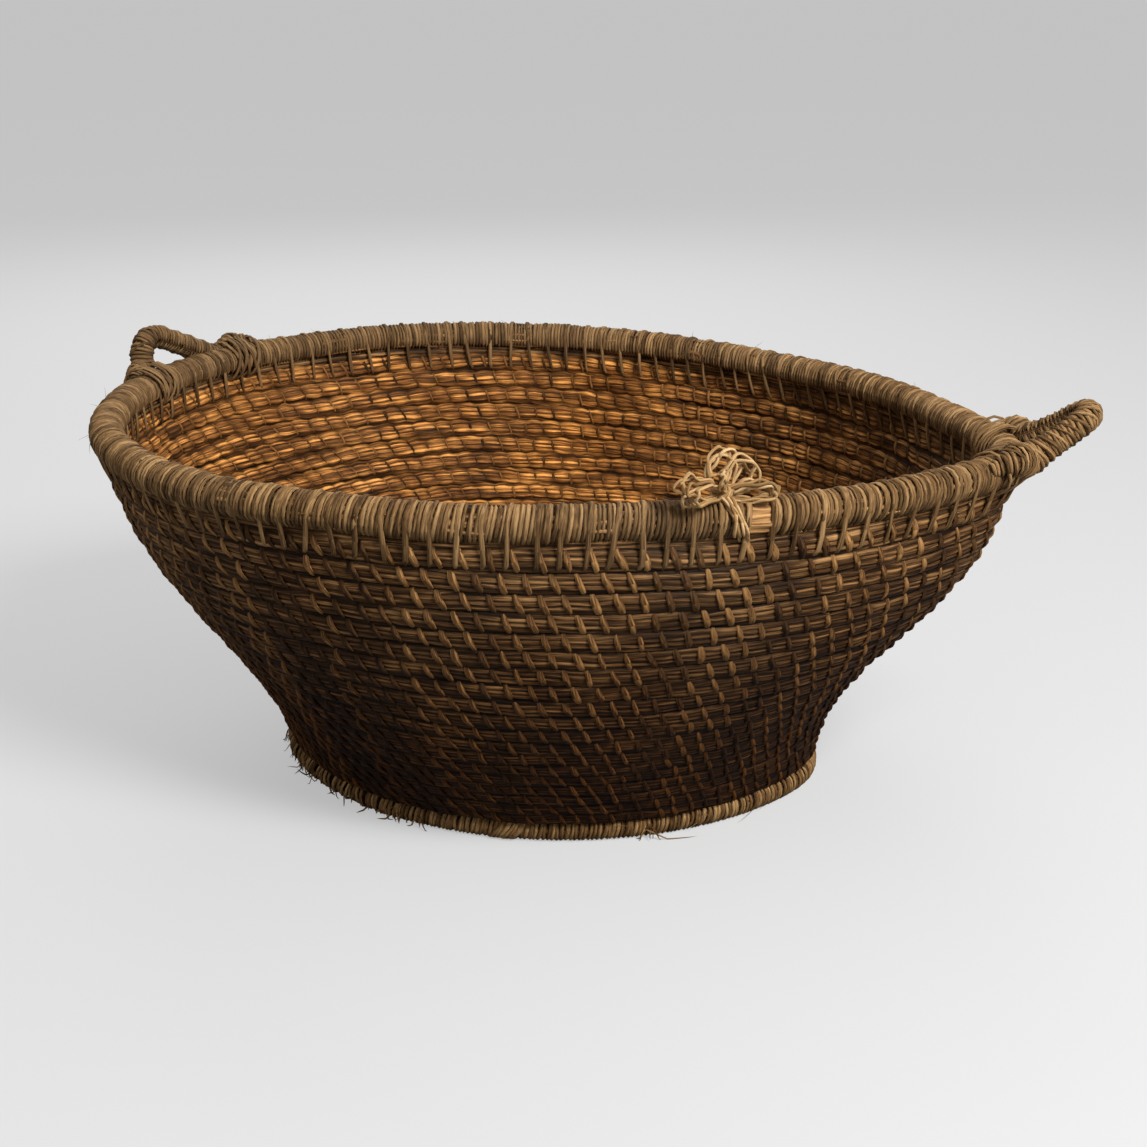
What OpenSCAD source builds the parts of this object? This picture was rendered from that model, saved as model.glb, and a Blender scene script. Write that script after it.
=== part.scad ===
// Coiled winnowing basket, in millimetres.
// Straw bundles lie one on another as oval courses, each sewn to the next by a row of split stitches.
// +Z is up, +X points to the narrow end, and the floor is z = 0.
// Every course is four arcs in one plane, and it takes the place of one turn of the spiral coil.

/* [Courses] */
// Courses of straw between the foot ring and the rim
courses = 19; // [12:1:22]
// Thickness of the straw bundle in the first course
bundle_foot_d = 6.8; // [5:0.1:9]
// Thickness of the straw bundle in the last course
bundle_rim_d = 10.8; // [8:0.1:14]

/* [Rim plan] */
// From the basket's axis to the middle of the rim at the blunt end
rim_left = 275; // [240:1:310]
// From the axis to the middle of the rim at the narrow end
rim_right = 283; // [240:1:310]
// From the axis to the middle of the rim at the front
rim_front = 229; // [215:1:250]
// From the axis to the middle of the rim at the back
rim_back = 217; // [205:1:235]
// Radius of the rim at the narrow end
rim_nose_r = 64; // [40:1:90]
// How far the narrow end of the rim sits behind the axis
rim_nose_y = 15; // [0:1:25]

/* [Foot plan] */
// From the axis to the middle of the foot ring at the blunt end
foot_left = 164; // [140:1:185]
// From the axis to the middle of the foot ring at the narrow end
foot_right = 174; // [150:1:200]
// From the axis to the middle of the foot ring at the front
foot_front = 150; // [135:1:165]
// From the axis to the middle of the foot ring at the back
foot_back = 136; // [125:1:150]
// Radius of the foot ring at the narrow end
foot_nose_r = 65; // [45:1:85]
// How far the narrow end of the foot ring sits behind the axis
foot_nose_y = 1; // [0:1:15]
// Radius of the foot ring's blunt end, as a share of half its width
foot_round = 0.93; // [0.85:0.01:0.97]

/* [Flare] */
// How much the front and back walls bulge outwards: 0 is straight
side_flare = 0.64; // [0.2:0.02:0.9]
// How much the two ends curve outwards late, in an S: 0 is straight
end_flare = 0.66; // [0.2:0.02:0.9]

/* [Stitches] */
// Stitches in each course
stitches = 106; // [80:1:110]
// Thickness of the flat strand that sews the courses
strand_t = 1.2; // [0.8:0.1:1.6]
// Width of the flat strand
strand_w = 3; // [2:0.1:3.4]
// Stitches in each outer coil of the base; the inner coils have a half and a quarter as many
base_stitches = 24; // [16:4:28]
// Clearance between pieces that lie against each other
fit_gap = 0.2; // [0.1:0.05:0.3]

/* [Rim and foot ring] */
// Diameter of the rim over its wrapping
rim_d = 21.5; // [18:0.5:26]
// Diameter of the foot ring over its wrapping
foot_d = 14; // [12:0.5:18]
// Thickness of the strand that wraps the rim, the foot ring and the handles
wrap_t = 1.4; // [1:0.1:2]
// Width of that strand
wrap_w = 2.4; // [1.8:0.1:2.6]
// Turns of wrapping on the rim from one joining stitch to the next
rim_turns = 4; // [2:1:4]
// Width of the worn flat that the foot ring stands on
tread_w = 4.6; // [3:0.1:5]

/* [Handles] */
// Diameter of a handle over its wrapping
handle_d = 15; // [12:0.5:18]
// Direction of the handle on the blunt end, around the axis from +X
left_dir = 178; // [170:1:190]
// Distance between the feet of the handle on the blunt end
left_span = 71; // [56:1:90]
// Height of the blunt end's loop above the middle of the rim, in its own plane
left_rise = 29; // [26:1:45]
// Radius of the bend of the blunt end's loop
left_bend_r = 16; // [13:0.5:20]
// How far that bend sits towards the front from the middle of the loop
left_skew = 19; // [0:1:24]
// Lean of the blunt end's loop outwards from upright
left_lean = 20; // [0:1:45]
// Direction of the handle on the narrow end, around the axis from +X
right_dir = 6; // [0:1:15]
// Distance between the feet of the handle on the narrow end
right_span = 48; // [42:1:56]
// Height of the narrow end's loop above the middle of the rim, in its own plane
right_rise = 50; // [40:1:70]
// Radius of the bend of the narrow end's loop
right_bend_r = 13; // [11:0.5:16]
// Lean of the narrow end's loop outwards from upright
right_lean = 54; // [30:1:65]
// How far outside the middle of the rim the loops are set
handle_out = 7; // [2:0.5:10]
// Lashing turns on the rim beside each foot of a handle
lashing_turns = 3; // [1:1:5]

/* [Tie] */
// Direction of the tie on the rim, around the axis from +X
tie_dir = 320; // [300:1:335]
// Turns of the tie round the rim
tie_turns = 5; // [3:1:7]
// Length of the tie's loop towards the blunt end
tie_left = 17; // [14:1:24]
// Length of the tie's upright loop
tie_tall = 22; // [16:1:30]
// Length of the tie's loop towards the narrow end
tie_right = 19; // [14:1:26]
// Thickness of the tie's loops
tie_d = 3; // [2:0.1:4]
// Stretch of the rim's wrapping that has worn away beside the tie
bare_len = 12; // [6:1:18]

/* [Hidden] */
SIDES = ["front", "right", "back", "left"];
ENDS = ["left", "right"];
function two(i) = i < 10 ? str("0", i) : str(i);

straw = [0.47, 0.31, 0.17];
dark_straw = [0.36, 0.23, 0.13];
strand = [0.58, 0.43, 0.26];
grey_strand = [0.5, 0.41, 0.3];
pale_bast = [0.74, 0.58, 0.35];

fine = 40;      // facets round a small section
coarse = 240;   // facets round a whole course
rim_r = rim_d / 2;
foot_r = foot_d / 2;
handle_r = handle_d / 2;
wrap_depth = wrap_t + fit_gap / 2;
rim_core_r = rim_r - wrap_depth;
foot_core_r = foot_r - wrap_depth;
handle_core_r = handle_r - wrap_depth;
last = courses + 1;

// ---- Levels: 0 is the foot ring, 1 to courses are the courses, and the last is the rim ----

function mix(a, b, t) = a * (1 - t) + b * t;
function level_d(i) = i == 0 ? foot_d : i == last ? rim_d
    : mix(bundle_foot_d, bundle_rim_d, (i - 1) / (courses - 1));
// From the middle of a level to the middle of the next: two half bundles and the strand between
function pitch(i) = (level_d(i) + level_d(i + 1)) / 2 + strand_t + 2 * fit_gap;
SLANT = [for (i = 0, s = 0; i <= last; s = s + (i < last ? pitch(i) : 0), i = i + 1) s];
function share(i) = SLANT[i] / SLANT[last];
function side_share(u) = u * (1 + side_flare * (1 - u));
function end_share(u) = u - end_flare * sin(360 * u) / (2 * PI);

// The arc that touches the side line y = 0 and, from inside, two circles: [x of its centre, radius].
// The circles have centres (x1, h1) and (x2, h2), and radii r1 and r2.
function bridge(x1, h1, r1, x2, h2, r2) =
    let (a1 = max(h1 - r1, 0), a2 = h2 - r2, s1 = h1 + r1, s2 = h2 + r2, span = x2 - x1,
         k = span * span - a1 * (s2 - s1), b = sqrt(a2),
         q = k / (span * b + sqrt(span * span * a2 + (a1 - a2) * k)))
    [x2 - b * q, (q * q + s2) / 2];
function heading(a, b) = atan2(b[1] - a[1], b[0] - a[0]);
function from(a, b) = b >= a ? b : b + 360;
// An arc is [centre x, centre y, radius, start angle, end angle], counter-clockwise
function arc(c, r, a0, a1) = [c[0], c[1], r, a0, from(a0, a1)];
// The plan of a level from its four reaches, its end radii and the offset of its narrow end
function oval(left, right, front, back, round, nose_r, nose_y) =
    let (r1 = round * (front + back) / 2, y1 = (back - front) / 2, x1 = r1 - left, x2 = right - nose_r,
         f = bridge(x1, y1 + front, r1, x2, nose_y + front, nose_r),
         b = bridge(x1, back - y1, r1, x2, back - nose_y, nose_r),
         cf = [f[0], f[1] - front], cb = [b[0], back - b[1]], c1 = [x1, y1], c2 = [x2, nose_y])
    [arc(cf, f[1], heading(cf, c1), heading(cf, c2)), arc(c2, nose_r, heading(cf, c2), heading(cb, c2)),
     arc(cb, b[1], heading(cb, c2), heading(cb, c1)), arc(c1, r1, heading(cb, c1), heading(cf, c1))];
function plan(u) = oval(
    mix(foot_left, rim_left, end_share(u)), mix(foot_right, rim_right, end_share(u)),
    mix(foot_front, rim_front, side_share(u)), mix(foot_back, rim_back, side_share(u)),
    mix(foot_round, 1, u), mix(foot_nose_r, rim_nose_r, u), mix(foot_nose_y, rim_nose_y, u));
PLAN = [for (i = [0:last]) plan(share(i))];

// The least distance in plan between two levels, tried along each arc
function apart(a, b) = min([for (k = [0:3]) for (j = [0:4])
    let (t = mix(a[k][3], a[k][4], j / 4), p = a[k][2] * [cos(t), sin(t)] + [a[k][0], a[k][1]])
    b[k][2] - norm(p - [b[k][0], b[k][1]])]);
function step(i) = max(apart(PLAN[i], PLAN[i + 1]), 0);
function lift(i) = sqrt(pow(pitch(i), 2) - pow(min(step(i), 0.9 * pitch(i)), 2));
foot_z = foot_r - 0.7;   // the wrapping is worn flat by this much underneath
Z = [for (i = 0, z = foot_z; i <= last; z = z + (i < last ? lift(i) : 0), i = i + 1) z];

// ---- Places on a level ----

function arc_len(a) = a[2] * (a[4] - a[3]) * PI / 180;
function total(l, n) = n == 0 ? 0 : arc_len(l[n - 1]) + total(l, n - 1);
// The point at a distance along a plan, found arc by arc
function along(l, s, k = 0) = s <= arc_len(l[k]) || k == 3
    ? let (t = l[k][3] + s / l[k][2] * 180 / PI) l[k][2] * [cos(t), sin(t)] + [l[k][0], l[k][1]]
    : along(l, s - arc_len(l[k]), k + 1);
// Stitch columns run up the wall in line, spaced evenly at half height: the direction of column f
middle = PLAN[floor(last / 2)];
middle_len = total(middle, 4);
function column(f) = let (p = along(middle, (f - floor(f)) * middle_len)) atan2(p[1], p[0]);
function within(a, t) = let (d = t - a[3], w = d - 360 * floor(d / 360)) w <= a[4] - a[3] + 0.0001;
// Where a ray from the axis meets a plan: [x, y, direction of the outward normal, arc number]
function meet(l, dir) = [for (k = [0:3])
    let (u = [cos(dir), sin(dir)], c = [l[k][0], l[k][1]], p = u * c,
         t = p + sqrt(max(l[k][2] * l[k][2] - c * c + p * p, 0)), q = t * u, n = heading(c, q))
    if (within(l[k], n)) [q[0], q[1], n, k]][0];

// A handle is [middle place on the rim, span, rise, bend radius, skew against Y, lean]
HANDLES = [
    [meet(PLAN[last], left_dir), left_span, left_rise, left_bend_r, -left_skew, left_lean],
    [meet(PLAN[last], right_dir), right_span, right_rise, right_bend_r, 0, right_lean]
];
// The feet stand handle_out outside the rim's middle, and the rim curves away between them
function handle_x(h) = let (r = PLAN[last][h[0][3]][2]) handle_out - r + sqrt(r * r - h[1] * h[1] / 4);
function reach(h) = h[0][0] + cos(h[0][2]) * (handle_x(h) + h[2] * sin(h[5]) + handle_r);

// The whole part is moved so that the origin is at the middle of its underside
shift = [-(reach(HANDLES[0]) + reach(HANDLES[1])) / 2, (rim_front - rim_back) / 2, 0];

// Local frame at a place: X outwards, Y along the course, Z up
module at(p, z) translate([p[0], p[1], z] + shift) rotate([0, 0, p[2]]) children();

// ---- Shapes ----

// One arc of a ring, with the section drawn around the origin; lengths of bundle are butted end to end
module swept(a) {
    joint = fit_gap / 2 / a[2] * 180 / PI;
    translate([a[0], a[1], 0]) rotate([0, 0, a[3] + joint])
        rotate_extrude(angle = a[4] - a[3] - 2 * joint, $fn = coarse) translate([a[2], 0]) children();
}
module ring(l, z) translate([0, 0, z] + shift) for (a = l) swept(a) children();
module round_bar(d) circle(d = d, $fn = fine);
// A flat strand once round a bundle that runs along Z
module band(bore_r, t, w) linear_extrude(w, center = true) difference() {
    circle(r = bore_r + t, $fn = fine);
    circle(r = bore_r, $fn = fine);
}
// The same strand, ending at an angle below the middle on both sides
module open_band(bore_r, t, w, below) linear_extrude(w, center = true) difference() {
    circle(r = bore_r + t, $fn = fine);
    circle(r = bore_r, $fn = fine);
    far = 4 * (bore_r + t);
    side = far * [cos(below), -sin(below)];
    polygon([[0, 0], [-side[0], side[1]], [0, -2 * far], side]);
}
module hoop(bore_r) rotate([90, 0, 0]) band(bore_r, strand_t, strand_w);
// Two circles a distance apart, joined by straight sides that cut a little way into both
module capsule(r_low, r_high, gap) {
    inset = 0.97;
    circle(r = r_low, $fn = 2 * fine);
    translate([0, gap]) circle(r = r_high, $fn = 2 * fine);
    polygon(inset * [[r_low, 0], [r_high, gap / inset], [-r_high, gap / inset], [-r_low, 0]]);
}

// ---- Foot ring ----

module foot_ring() color(dark_straw) ring(PLAN[0], foot_z) {
    circle(r = foot_core_r, $fn = fine);
    translate([-tread_w / 2, -foot_z]) square([tread_w, foot_z]);
}
// The turns stop beside the worn flat underneath
foot_open = asin(foot_z / foot_r) - 3;
wrap_step = wrap_w + 2 * fit_gap;
function wrap_count(a, r) = floor(arc_len(a) * (a[2] - r) / a[2] / wrap_step);
module foot_wrap(k) color(strand) {
    a = PLAN[0][k];
    n = wrap_count(a, foot_r);
    for (j = [0:n - 1]) {
        t = mix(a[3], a[4], (j + 0.5) / n);
        at([a[0] + a[2] * cos(t), a[1] + a[2] * sin(t), t], foot_z) rotate([90, 0, 0])
            open_band(foot_core_r + fit_gap / 2, wrap_t, wrap_w, foot_open);
    }
}

// ---- Base: coils inside the first course, at its level ----

base_pitch = bundle_foot_d + strand_t + 2 * fit_gap;
function end_mid(u) = (mix(foot_right, rim_right, u) - mix(foot_left, rim_left, u)) / 2;
base_mid = [end_mid(end_share(share(1))), (foot_back - foot_front) / 2];
base_reach = (foot_front + foot_back) / 2;
function shrink(a, k) = [mix(base_mid[0], a[0], k), mix(base_mid[1], a[1], k), k * a[2], a[3], a[4]];
function base_ring(j) = [for (a = PLAN[1]) shrink(a, 1 - j * base_pitch / base_reach)];
start_turns = 2;
base_rings = floor(base_reach / base_pitch) - start_turns - 1;
// The start of the coil is a spiral of half turns about two centres
module coil_start() translate([base_mid[0], base_mid[1], Z[1]] + shift) for (m = [1:2 * start_turns])
    rotate([0, 0, 180 * (m % 2)]) swept([base_pitch / 4, 0, m * base_pitch / 2, 0, 180])
        round_bar(bundle_foot_d);
module base_coils() color(dark_straw) {
    for (j = [1:base_rings]) ring(base_ring(j), Z[1]) round_bar(bundle_foot_d);
    coil_start();
}
// Neighbouring coils have their stitches in between one another, also where the count halves
full_rings = 2 * floor(0.3 * base_rings);
half_rings = 2 * floor(0.43 * base_rings);
function base_count(j) = base_stitches / (j <= full_rings ? 1 : j <= half_rings ? 2 : 4);
function base_offset(j) = (j <= full_rings ? 0 : j <= half_rings ? 0.25 : 0.375) + (j % 2) / 2;
module base_stitch_rows() color(strand) for (j = [1:base_rings]) for (k = [1:base_count(j)])
    at(meet(base_ring(j), 360 * (k + base_offset(j)) / base_count(j)), Z[1])
        hoop(bundle_foot_d / 2 + fit_gap / 2);

// ---- Wall ----

module course(i) color(i % 2 == 0 ? straw : dark_straw) ring(PLAN[i], Z[i]) round_bar(level_d(i));
// Each row is set half a stitch on from the row below, so that a stitch lies between the two under it
module stitch_row(i) color(strand) for (k = [0:stitches - 1])
    at(meet(PLAN[i], column((k + (i % 2) / 2) / stitches)), Z[i]) hoop(level_d(i) / 2 + fit_gap / 2);

// ---- Rim ----

module rim_core() color(straw) ring(PLAN[last], Z[last]) round_bar(2 * rim_core_r);
function rim_place(f) = meet(PLAN[last], column(f));
function turned(a, b) = let (d = a - b) abs(d - 360 * round(d / 360));
bare_half = bare_len / 2 / norm([rim_front, rim_right]) * 180 / PI * 1.4;
bare_dir = tie_dir + 4.5;
RIM_TURNS = [for (k = [0:stitches - 1]) for (j = [1:rim_turns])
    let (f = (k + 0.25 + j / (rim_turns + 1)) / stitches)
    if (turned(column(f), bare_dir) > bare_half) rim_place(f)];
module rim_wrap(k) color(grey_strand) for (p = RIM_TURNS) if (p[3] == k)
    at(p, Z[last]) rotate([90, 0, 0]) band(rim_core_r + fit_gap / 2, wrap_t, wrap_w);
// A joining stitch goes round the rim and the last course together
module rim_stitches() color(grey_strand) for (k = [0:stitches - 1]) {
    dir = column((k + 0.25) / stitches);
    p = meet(PLAN[courses], dir);
    q = meet(PLAN[last], dir);
    out = (q[0] - p[0]) * cos(p[2]) + (q[1] - p[1]) * sin(p[2]);
    up = Z[last] - Z[courses];
    at(p, Z[courses]) rotate([0, atan2(out, up), 0]) rotate([90, 0, 0])
        linear_extrude(wrap_w, center = true) difference() {
            capsule(level_d(courses) / 2 + fit_gap / 2 + strand_t, rim_r, norm([out, up]));
            capsule(level_d(courses) / 2 + fit_gap / 2, rim_core_r + fit_gap / 2, norm([out, up]));
        }
}

// ---- Handles: a loop in its own plane, with Y along the rim and Z up the loop ----

module in_handle(h) at(h[0], Z[last]) translate([handle_x(h), 0, 0]) rotate([0, h[5], 0]) children();
// A leg runs from its foot to touch the bend from outside, on the side -1 or 1: [its angle, its length]
function leg(foot_y, bend_y, bend_z, r, side) =
    let (d = norm([bend_y - foot_y, bend_z]))
    [atan2(bend_z, bend_y - foot_y) - side * asin(r / d), sqrt(d * d - r * r)];
function handle_leg(h, side) = leg(side * h[1] / 2, -h[4], h[2] - h[3], h[3], side);
module on_leg(h, side) translate([0, side * h[1] / 2, 0]) rotate([handle_leg(h, side)[0] - 90, 0, 0])
    children();
module on_bend(h) translate([0, -h[4], h[2] - h[3]]) rotate([90, 0, 90]) children();
function bend_start(h) = handle_leg(h, 1)[0] - 90;
function bend_end(h) = handle_leg(h, -1)[0] + 90;

// The core is coped over the wrapped rim; its legs are butted against its bend
module handle_core(h) color(straw) difference() {
    in_handle(h) {
        for (side = [-1, 1]) on_leg(h, side)
            cylinder(h = handle_leg(h, side)[1] - fit_gap, r = handle_core_r, $fn = fine);
        on_bend(h) swept([0, 0, h[3], bend_start(h), bend_end(h)]) circle(r = handle_core_r, $fn = fine);
    }
    ring(PLAN[last], Z[last]) round_bar(rim_d + 2 * fit_gap);
}
// The first turn on a leg is the one that clears the rim
function first_turn(h, side) = let (a = handle_leg(h, side)[0])
    (rim_r + wrap_w / 2 + fit_gap - handle_x(h) * sin(h[5]) + handle_r * abs(cos(a))) / sin(a);
module handle_wrap(h) color(grey_strand) in_handle(h) {
    for (side = [-1, 1]) on_leg(h, side)
        for (s = [first_turn(h, side):wrap_step:handle_leg(h, side)[1] - wrap_w / 2]) translate([0, 0, s])
            band(handle_core_r + fit_gap / 2, wrap_t, wrap_w);
    // Round the bend the turns crowd together on the inner side
    sweep = bend_end(h) - bend_start(h);
    n = floor(sweep * PI / 180 * h[3] / wrap_step);
    gap = fit_gap / (h[3] - handle_r) * 180 / PI;
    on_bend(h) for (k = [0:n - 1]) rotate([0, 0, bend_start(h) + sweep * k / n + gap / 2])
        rotate_extrude(angle = sweep / n - gap, $fn = coarse) translate([h[3], 0]) difference() {
            circle(r = handle_r, $fn = fine);
            circle(r = handle_core_r + fit_gap / 2, $fn = fine);
        }
}
// A place on the rim at a distance y along it from another place
function beside(place, y) = let (q = [place[0] - y * sin(place[2]), place[1] + y * cos(place[2])])
    meet(PLAN[last], atan2(q[1], q[0]));
module over_rim(place) at(place, Z[last]) rotate([90, 0, 0])
    open_band(rim_r + fit_gap / 2, wrap_t, wrap_w, 0);
// Half turns on the rim are spaced by their inner side
function rim_step(place) = wrap_step / (1 - (rim_r + wrap_depth) / PLAN[last][place[3]][2]);
// Half turns that lash the rim just outside each foot
module handle_lashing(h) color(strand) for (side = [-1, 1]) for (k = [0:lashing_turns - 1]) {
    foot = h[1] / 2 + handle_core_r / sin(handle_leg(h, side)[0]) + wrap_w / 2 + 2 * fit_gap;
    over_rim(beside(h[0], side * (foot + k * rim_step(h[0]))));
}

// ---- Tie: half turns over the rim, a knot on top of them and three loops from the knot ----

tie_place = meet(PLAN[last], tie_dir);
tie_bar_r = tie_d / 2;
knot_r = tie_d;
tie_z = Z[last] + rim_r + wrap_depth + fit_gap + tie_bar_r;
module tie_band() color(pale_bast) for (k = [0:tie_turns - 1])
    over_rim(beside(tie_place, (k - (tie_turns - 1) / 2) * rim_step(tie_place)));
// Each loop is [angle up from the rim at the narrow end's side, turn about the upright, roll, length]
TIE_LOOPS = [[158, -12, 60, tie_left], [95, 10, 15, tie_tall], [20, 20, -55, tie_right]];
// An egg-shaped closed loop of cord that stands on the origin, in the plane of Y and Z
sides = 8;
rings = 28;
function egg(t, l) = [0, 0.3 * l * sin(t) * (1.05 - 0.2 * cos(t)), l * (1 - cos(t)) / 2];
function egg_ring(t, l) =
    let (p = egg(t, l), q = egg(t + 1, l) - egg(t - 1, l), v = q / norm(q), across = [0, -v[2], v[1]])
    [for (k = [0:sides - 1]) let (a = 360 * k / sides)
        p + tie_bar_r * (cos(a) * [1, 0, 0] + sin(a) * across)];
module petal(length) polyhedron(
    [for (j = [0:rings - 1]) each egg_ring(360 * j / rings, length - tie_d)],
    [for (j = [0:rings - 1]) for (k = [0:sides - 1]) let (n = (j + 1) % rings, m = (k + 1) % sides)
        [j * sides + k, j * sides + m, n * sides + m, n * sides + k]]);
module tie_loops() color(pale_bast) at(tie_place, tie_z) {
    rotate_extrude($fn = fine) translate([knot_r, 0]) circle(r = tie_bar_r, $fn = fine);
    for (l = TIE_LOOPS) rotate([0, 0, l[1]]) rotate([l[0] - 90, 0, l[2]])
        translate([0, 0, knot_r * abs(cos(l[0])) + 2 * tie_bar_r + fit_gap]) petal(l[3]);
}

// ---- Nodes ----

foot_ring();
for (k = [0:3]) foot_wrap(k);
base_coils();
base_stitch_rows();  // base_stitches
for (i = [1:courses]) course(i);
for (i = [1:courses]) stitch_row(i);
rim_core();
for (k = [0:3]) rim_wrap(k);
rim_stitches();
for (e = [0:1]) {
    handle_core(HANDLES[e]);
    handle_wrap(HANDLES[e]);
    handle_lashing(HANDLES[e]);
}
tie_band();
tie_loops();
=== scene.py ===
"""A coiled straw winnowing basket: bundles, stitches, wrapped rim, handles, tie and foot ring."""

import math

import bmesh
import bpy
import numpy as np
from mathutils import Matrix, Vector


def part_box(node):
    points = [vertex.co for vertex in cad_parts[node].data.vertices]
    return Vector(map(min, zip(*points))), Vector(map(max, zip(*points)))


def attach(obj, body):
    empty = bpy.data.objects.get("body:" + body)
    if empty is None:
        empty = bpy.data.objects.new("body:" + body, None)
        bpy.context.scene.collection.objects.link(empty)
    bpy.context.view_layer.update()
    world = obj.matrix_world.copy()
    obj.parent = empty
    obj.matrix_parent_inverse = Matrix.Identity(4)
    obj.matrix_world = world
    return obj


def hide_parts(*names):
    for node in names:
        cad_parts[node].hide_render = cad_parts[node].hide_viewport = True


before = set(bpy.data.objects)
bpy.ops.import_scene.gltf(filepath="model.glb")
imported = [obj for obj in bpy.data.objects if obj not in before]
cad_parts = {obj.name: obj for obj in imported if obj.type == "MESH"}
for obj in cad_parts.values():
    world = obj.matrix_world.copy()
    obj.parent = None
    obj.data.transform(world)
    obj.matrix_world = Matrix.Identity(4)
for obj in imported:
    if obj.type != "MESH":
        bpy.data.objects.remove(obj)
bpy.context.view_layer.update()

bl_info = {
    "name": "Winnowing basket",
    "version": (1, 0, 0),
    "blender": (4, 5, 0),
    "location": "View3D > Sidebar > Basket",
    "description": "Dresses the frame of a coiled straw basket in bundles, strands and bast",
    "category": "Object",
}

MM = 0.001
TURN = 2 * math.pi
AXIS = np.array([-17.15, 6.0]) * MM      # the coil's upright axis in the frame
FOOT_D = 14 * MM                         # foot ring over its wrapping
WRAP_DEPTH = 1.5 * MM                    # wrapping and the fit under it
BUNDLE_GAP = 1.6 * MM                    # strand between two courses, with its fit
ROUND = (0.93, 1.0)                      # foot and rim: blunt end's radius over half the width
NOSE_R = (65 * MM, 64 * MM)              # foot and rim: radius of the narrow end
NOSE_Y = (1 * MM, 15 * MM)               # foot and rim: offset of the narrow end
TIE_DIR = 320                            # direction of the tie on the rim, in degrees from +X
BARE_DIR = 324.5                         # direction of the worn patch beside it
BARE_HALF = 1.5                          # half the width of that patch, in degrees
LOOSE_FOOT = (208, 268)                  # directions between which the foot's wrapping is loose
FOOT_KNOT_DIR = 287                      # direction of the kinked turns on the foot ring
FOOT_TUFT = (317, 319)                   # directions between which a tuft hangs on the right
FOOT_PITCH = 2.6 * MM                    # from one turn of the foot's wrapping to the next
POINT_GAP = 1.2 * MM                     # between the points of a level's route
COURSE_STEP = 3.6 * MM                   # between the rings of faces along a course
COURSE_SWELL = 2.9 * MM                  # how far a course reaches up and down into its gaps
BASE_STITCH_GAP = 14 * MM                # between the stitches of the base
TUCK = -2.4                              # angle at which a turn of wrapping starts, in radians


# ---- Small mathematics ----

def smooth(low, high, x):
    """0 below low, 1 above high, and an even curve between."""
    t = np.clip((x - low) / (high - low), 0, 1)
    return t * t * (3 - 2 * t)


def mix(a, b, t):
    return a * (1 - t) + b * t


def unit(rows):
    return rows / np.maximum(np.linalg.norm(rows, axis=-1, keepdims=True), 1e-12)


class Waves:
    """Smooth periodic unevenness, with one row for each level, stem or strand."""

    def __init__(self, seed, rows, low, high, waves=6):
        rng = np.random.default_rng(seed)
        self.turns = rng.integers(low, high + 1, waves)
        self.phase = rng.uniform(0, TURN, (rows, waves))
        self.gain = rng.uniform(0.4, 1.0, (rows, waves)) / math.sqrt(waves)

    def __call__(self, row, part):
        total = 0
        for w, turns in enumerate(self.turns):
            total = total + self.gain[row, w] * np.sin(TURN * turns * part + self.phase[row, w])
        return total


class Track:
    """A route with its own outward and upward directions, read by the distance along it."""

    def __init__(self, points, out, up, closed=False):
        self.points, self.out, self.up, self.closed = points, out, up, closed
        steps = np.linalg.norm(np.diff(points, axis=0), axis=1)
        self.s = np.concatenate([[0], np.cumsum(steps)])
        self.length = self.s[-1]

    def read(self, table, s):
        s = np.mod(s, self.length) if self.closed else np.clip(s, 0, self.length)
        return np.stack([np.interp(s, self.s, table[:, a]) for a in range(3)], -1)

    def ahead(self, s):
        return unit(self.read(self.points, s + MM) - self.read(self.points, s - MM))

    def place(self, s, angle, radius):
        """A point round the route, with its outward and its round-the-route directions."""
        out, up = self.read(self.out, s), self.read(self.up, s)
        c, n = np.cos(angle)[:, None], np.sin(angle)[:, None]
        side = c * out + n * up
        return self.read(self.points, s) + radius[:, None] * side, side, c * up - n * out


# ---- Levels: 0 is the foot ring, then the courses, and the last is the rim ----

def heading(a, b):
    return math.degrees(math.atan2(b[1] - a[1], b[0] - a[0]))


def bridge(x1, h1, r1, x2, h2, r2):
    """The arc that touches a side line and, from inside, two circles: its centre's x and radius."""
    a1, a2, s1, s2, span = max(h1 - r1, 0), h2 - r2, h1 + r1, h2 + r2, x2 - x1
    k = span * span - a1 * (s2 - s1)
    b = math.sqrt(a2)
    q = k / (span * b + math.sqrt(span * span * a2 + (a1 - a2) * k))
    return x2 - b * q, (q * q + s2) / 2


def oval(left, right, front, back, bluntness, nose_r, nose_y):
    """Four arcs, each a centre, a radius and two angles, from the reaches of a level."""
    r1, y1 = bluntness * (front + back) / 2, (back - front) / 2
    x1, x2 = r1 - left, right - nose_r
    fx, fr = bridge(x1, y1 + front, r1, x2, nose_y + front, nose_r)
    bx, br = bridge(x1, back - y1, r1, x2, back - nose_y, nose_r)
    f, b, blunt, nose = (fx, fr - front), (bx, back - br), (x1, y1), (x2, nose_y)
    corners = [(f, fr, blunt, nose, True), (nose, nose_r, f, b, False),
               (b, br, nose, blunt, True), (blunt, r1, b, f, False)]
    arcs = []
    for centre, radius, one, two, long_side in corners:
        if long_side:
            a0, a1 = heading(centre, one), heading(centre, two)
        else:
            a0, a1 = heading(one, centre), heading(two, centre)
        arcs.append((centre, radius, a0, a1 if a1 >= a0 else a1 + 360))
    return arcs


COURSES = sum(name.startswith("course_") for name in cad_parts)
RIM = COURSES + 1
SIDES = ("front", "right", "back", "left")


def course_node(i):
    return "foot_ring" if i == 0 else "rim_core" if i == RIM else f"course_{i:02d}"


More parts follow.
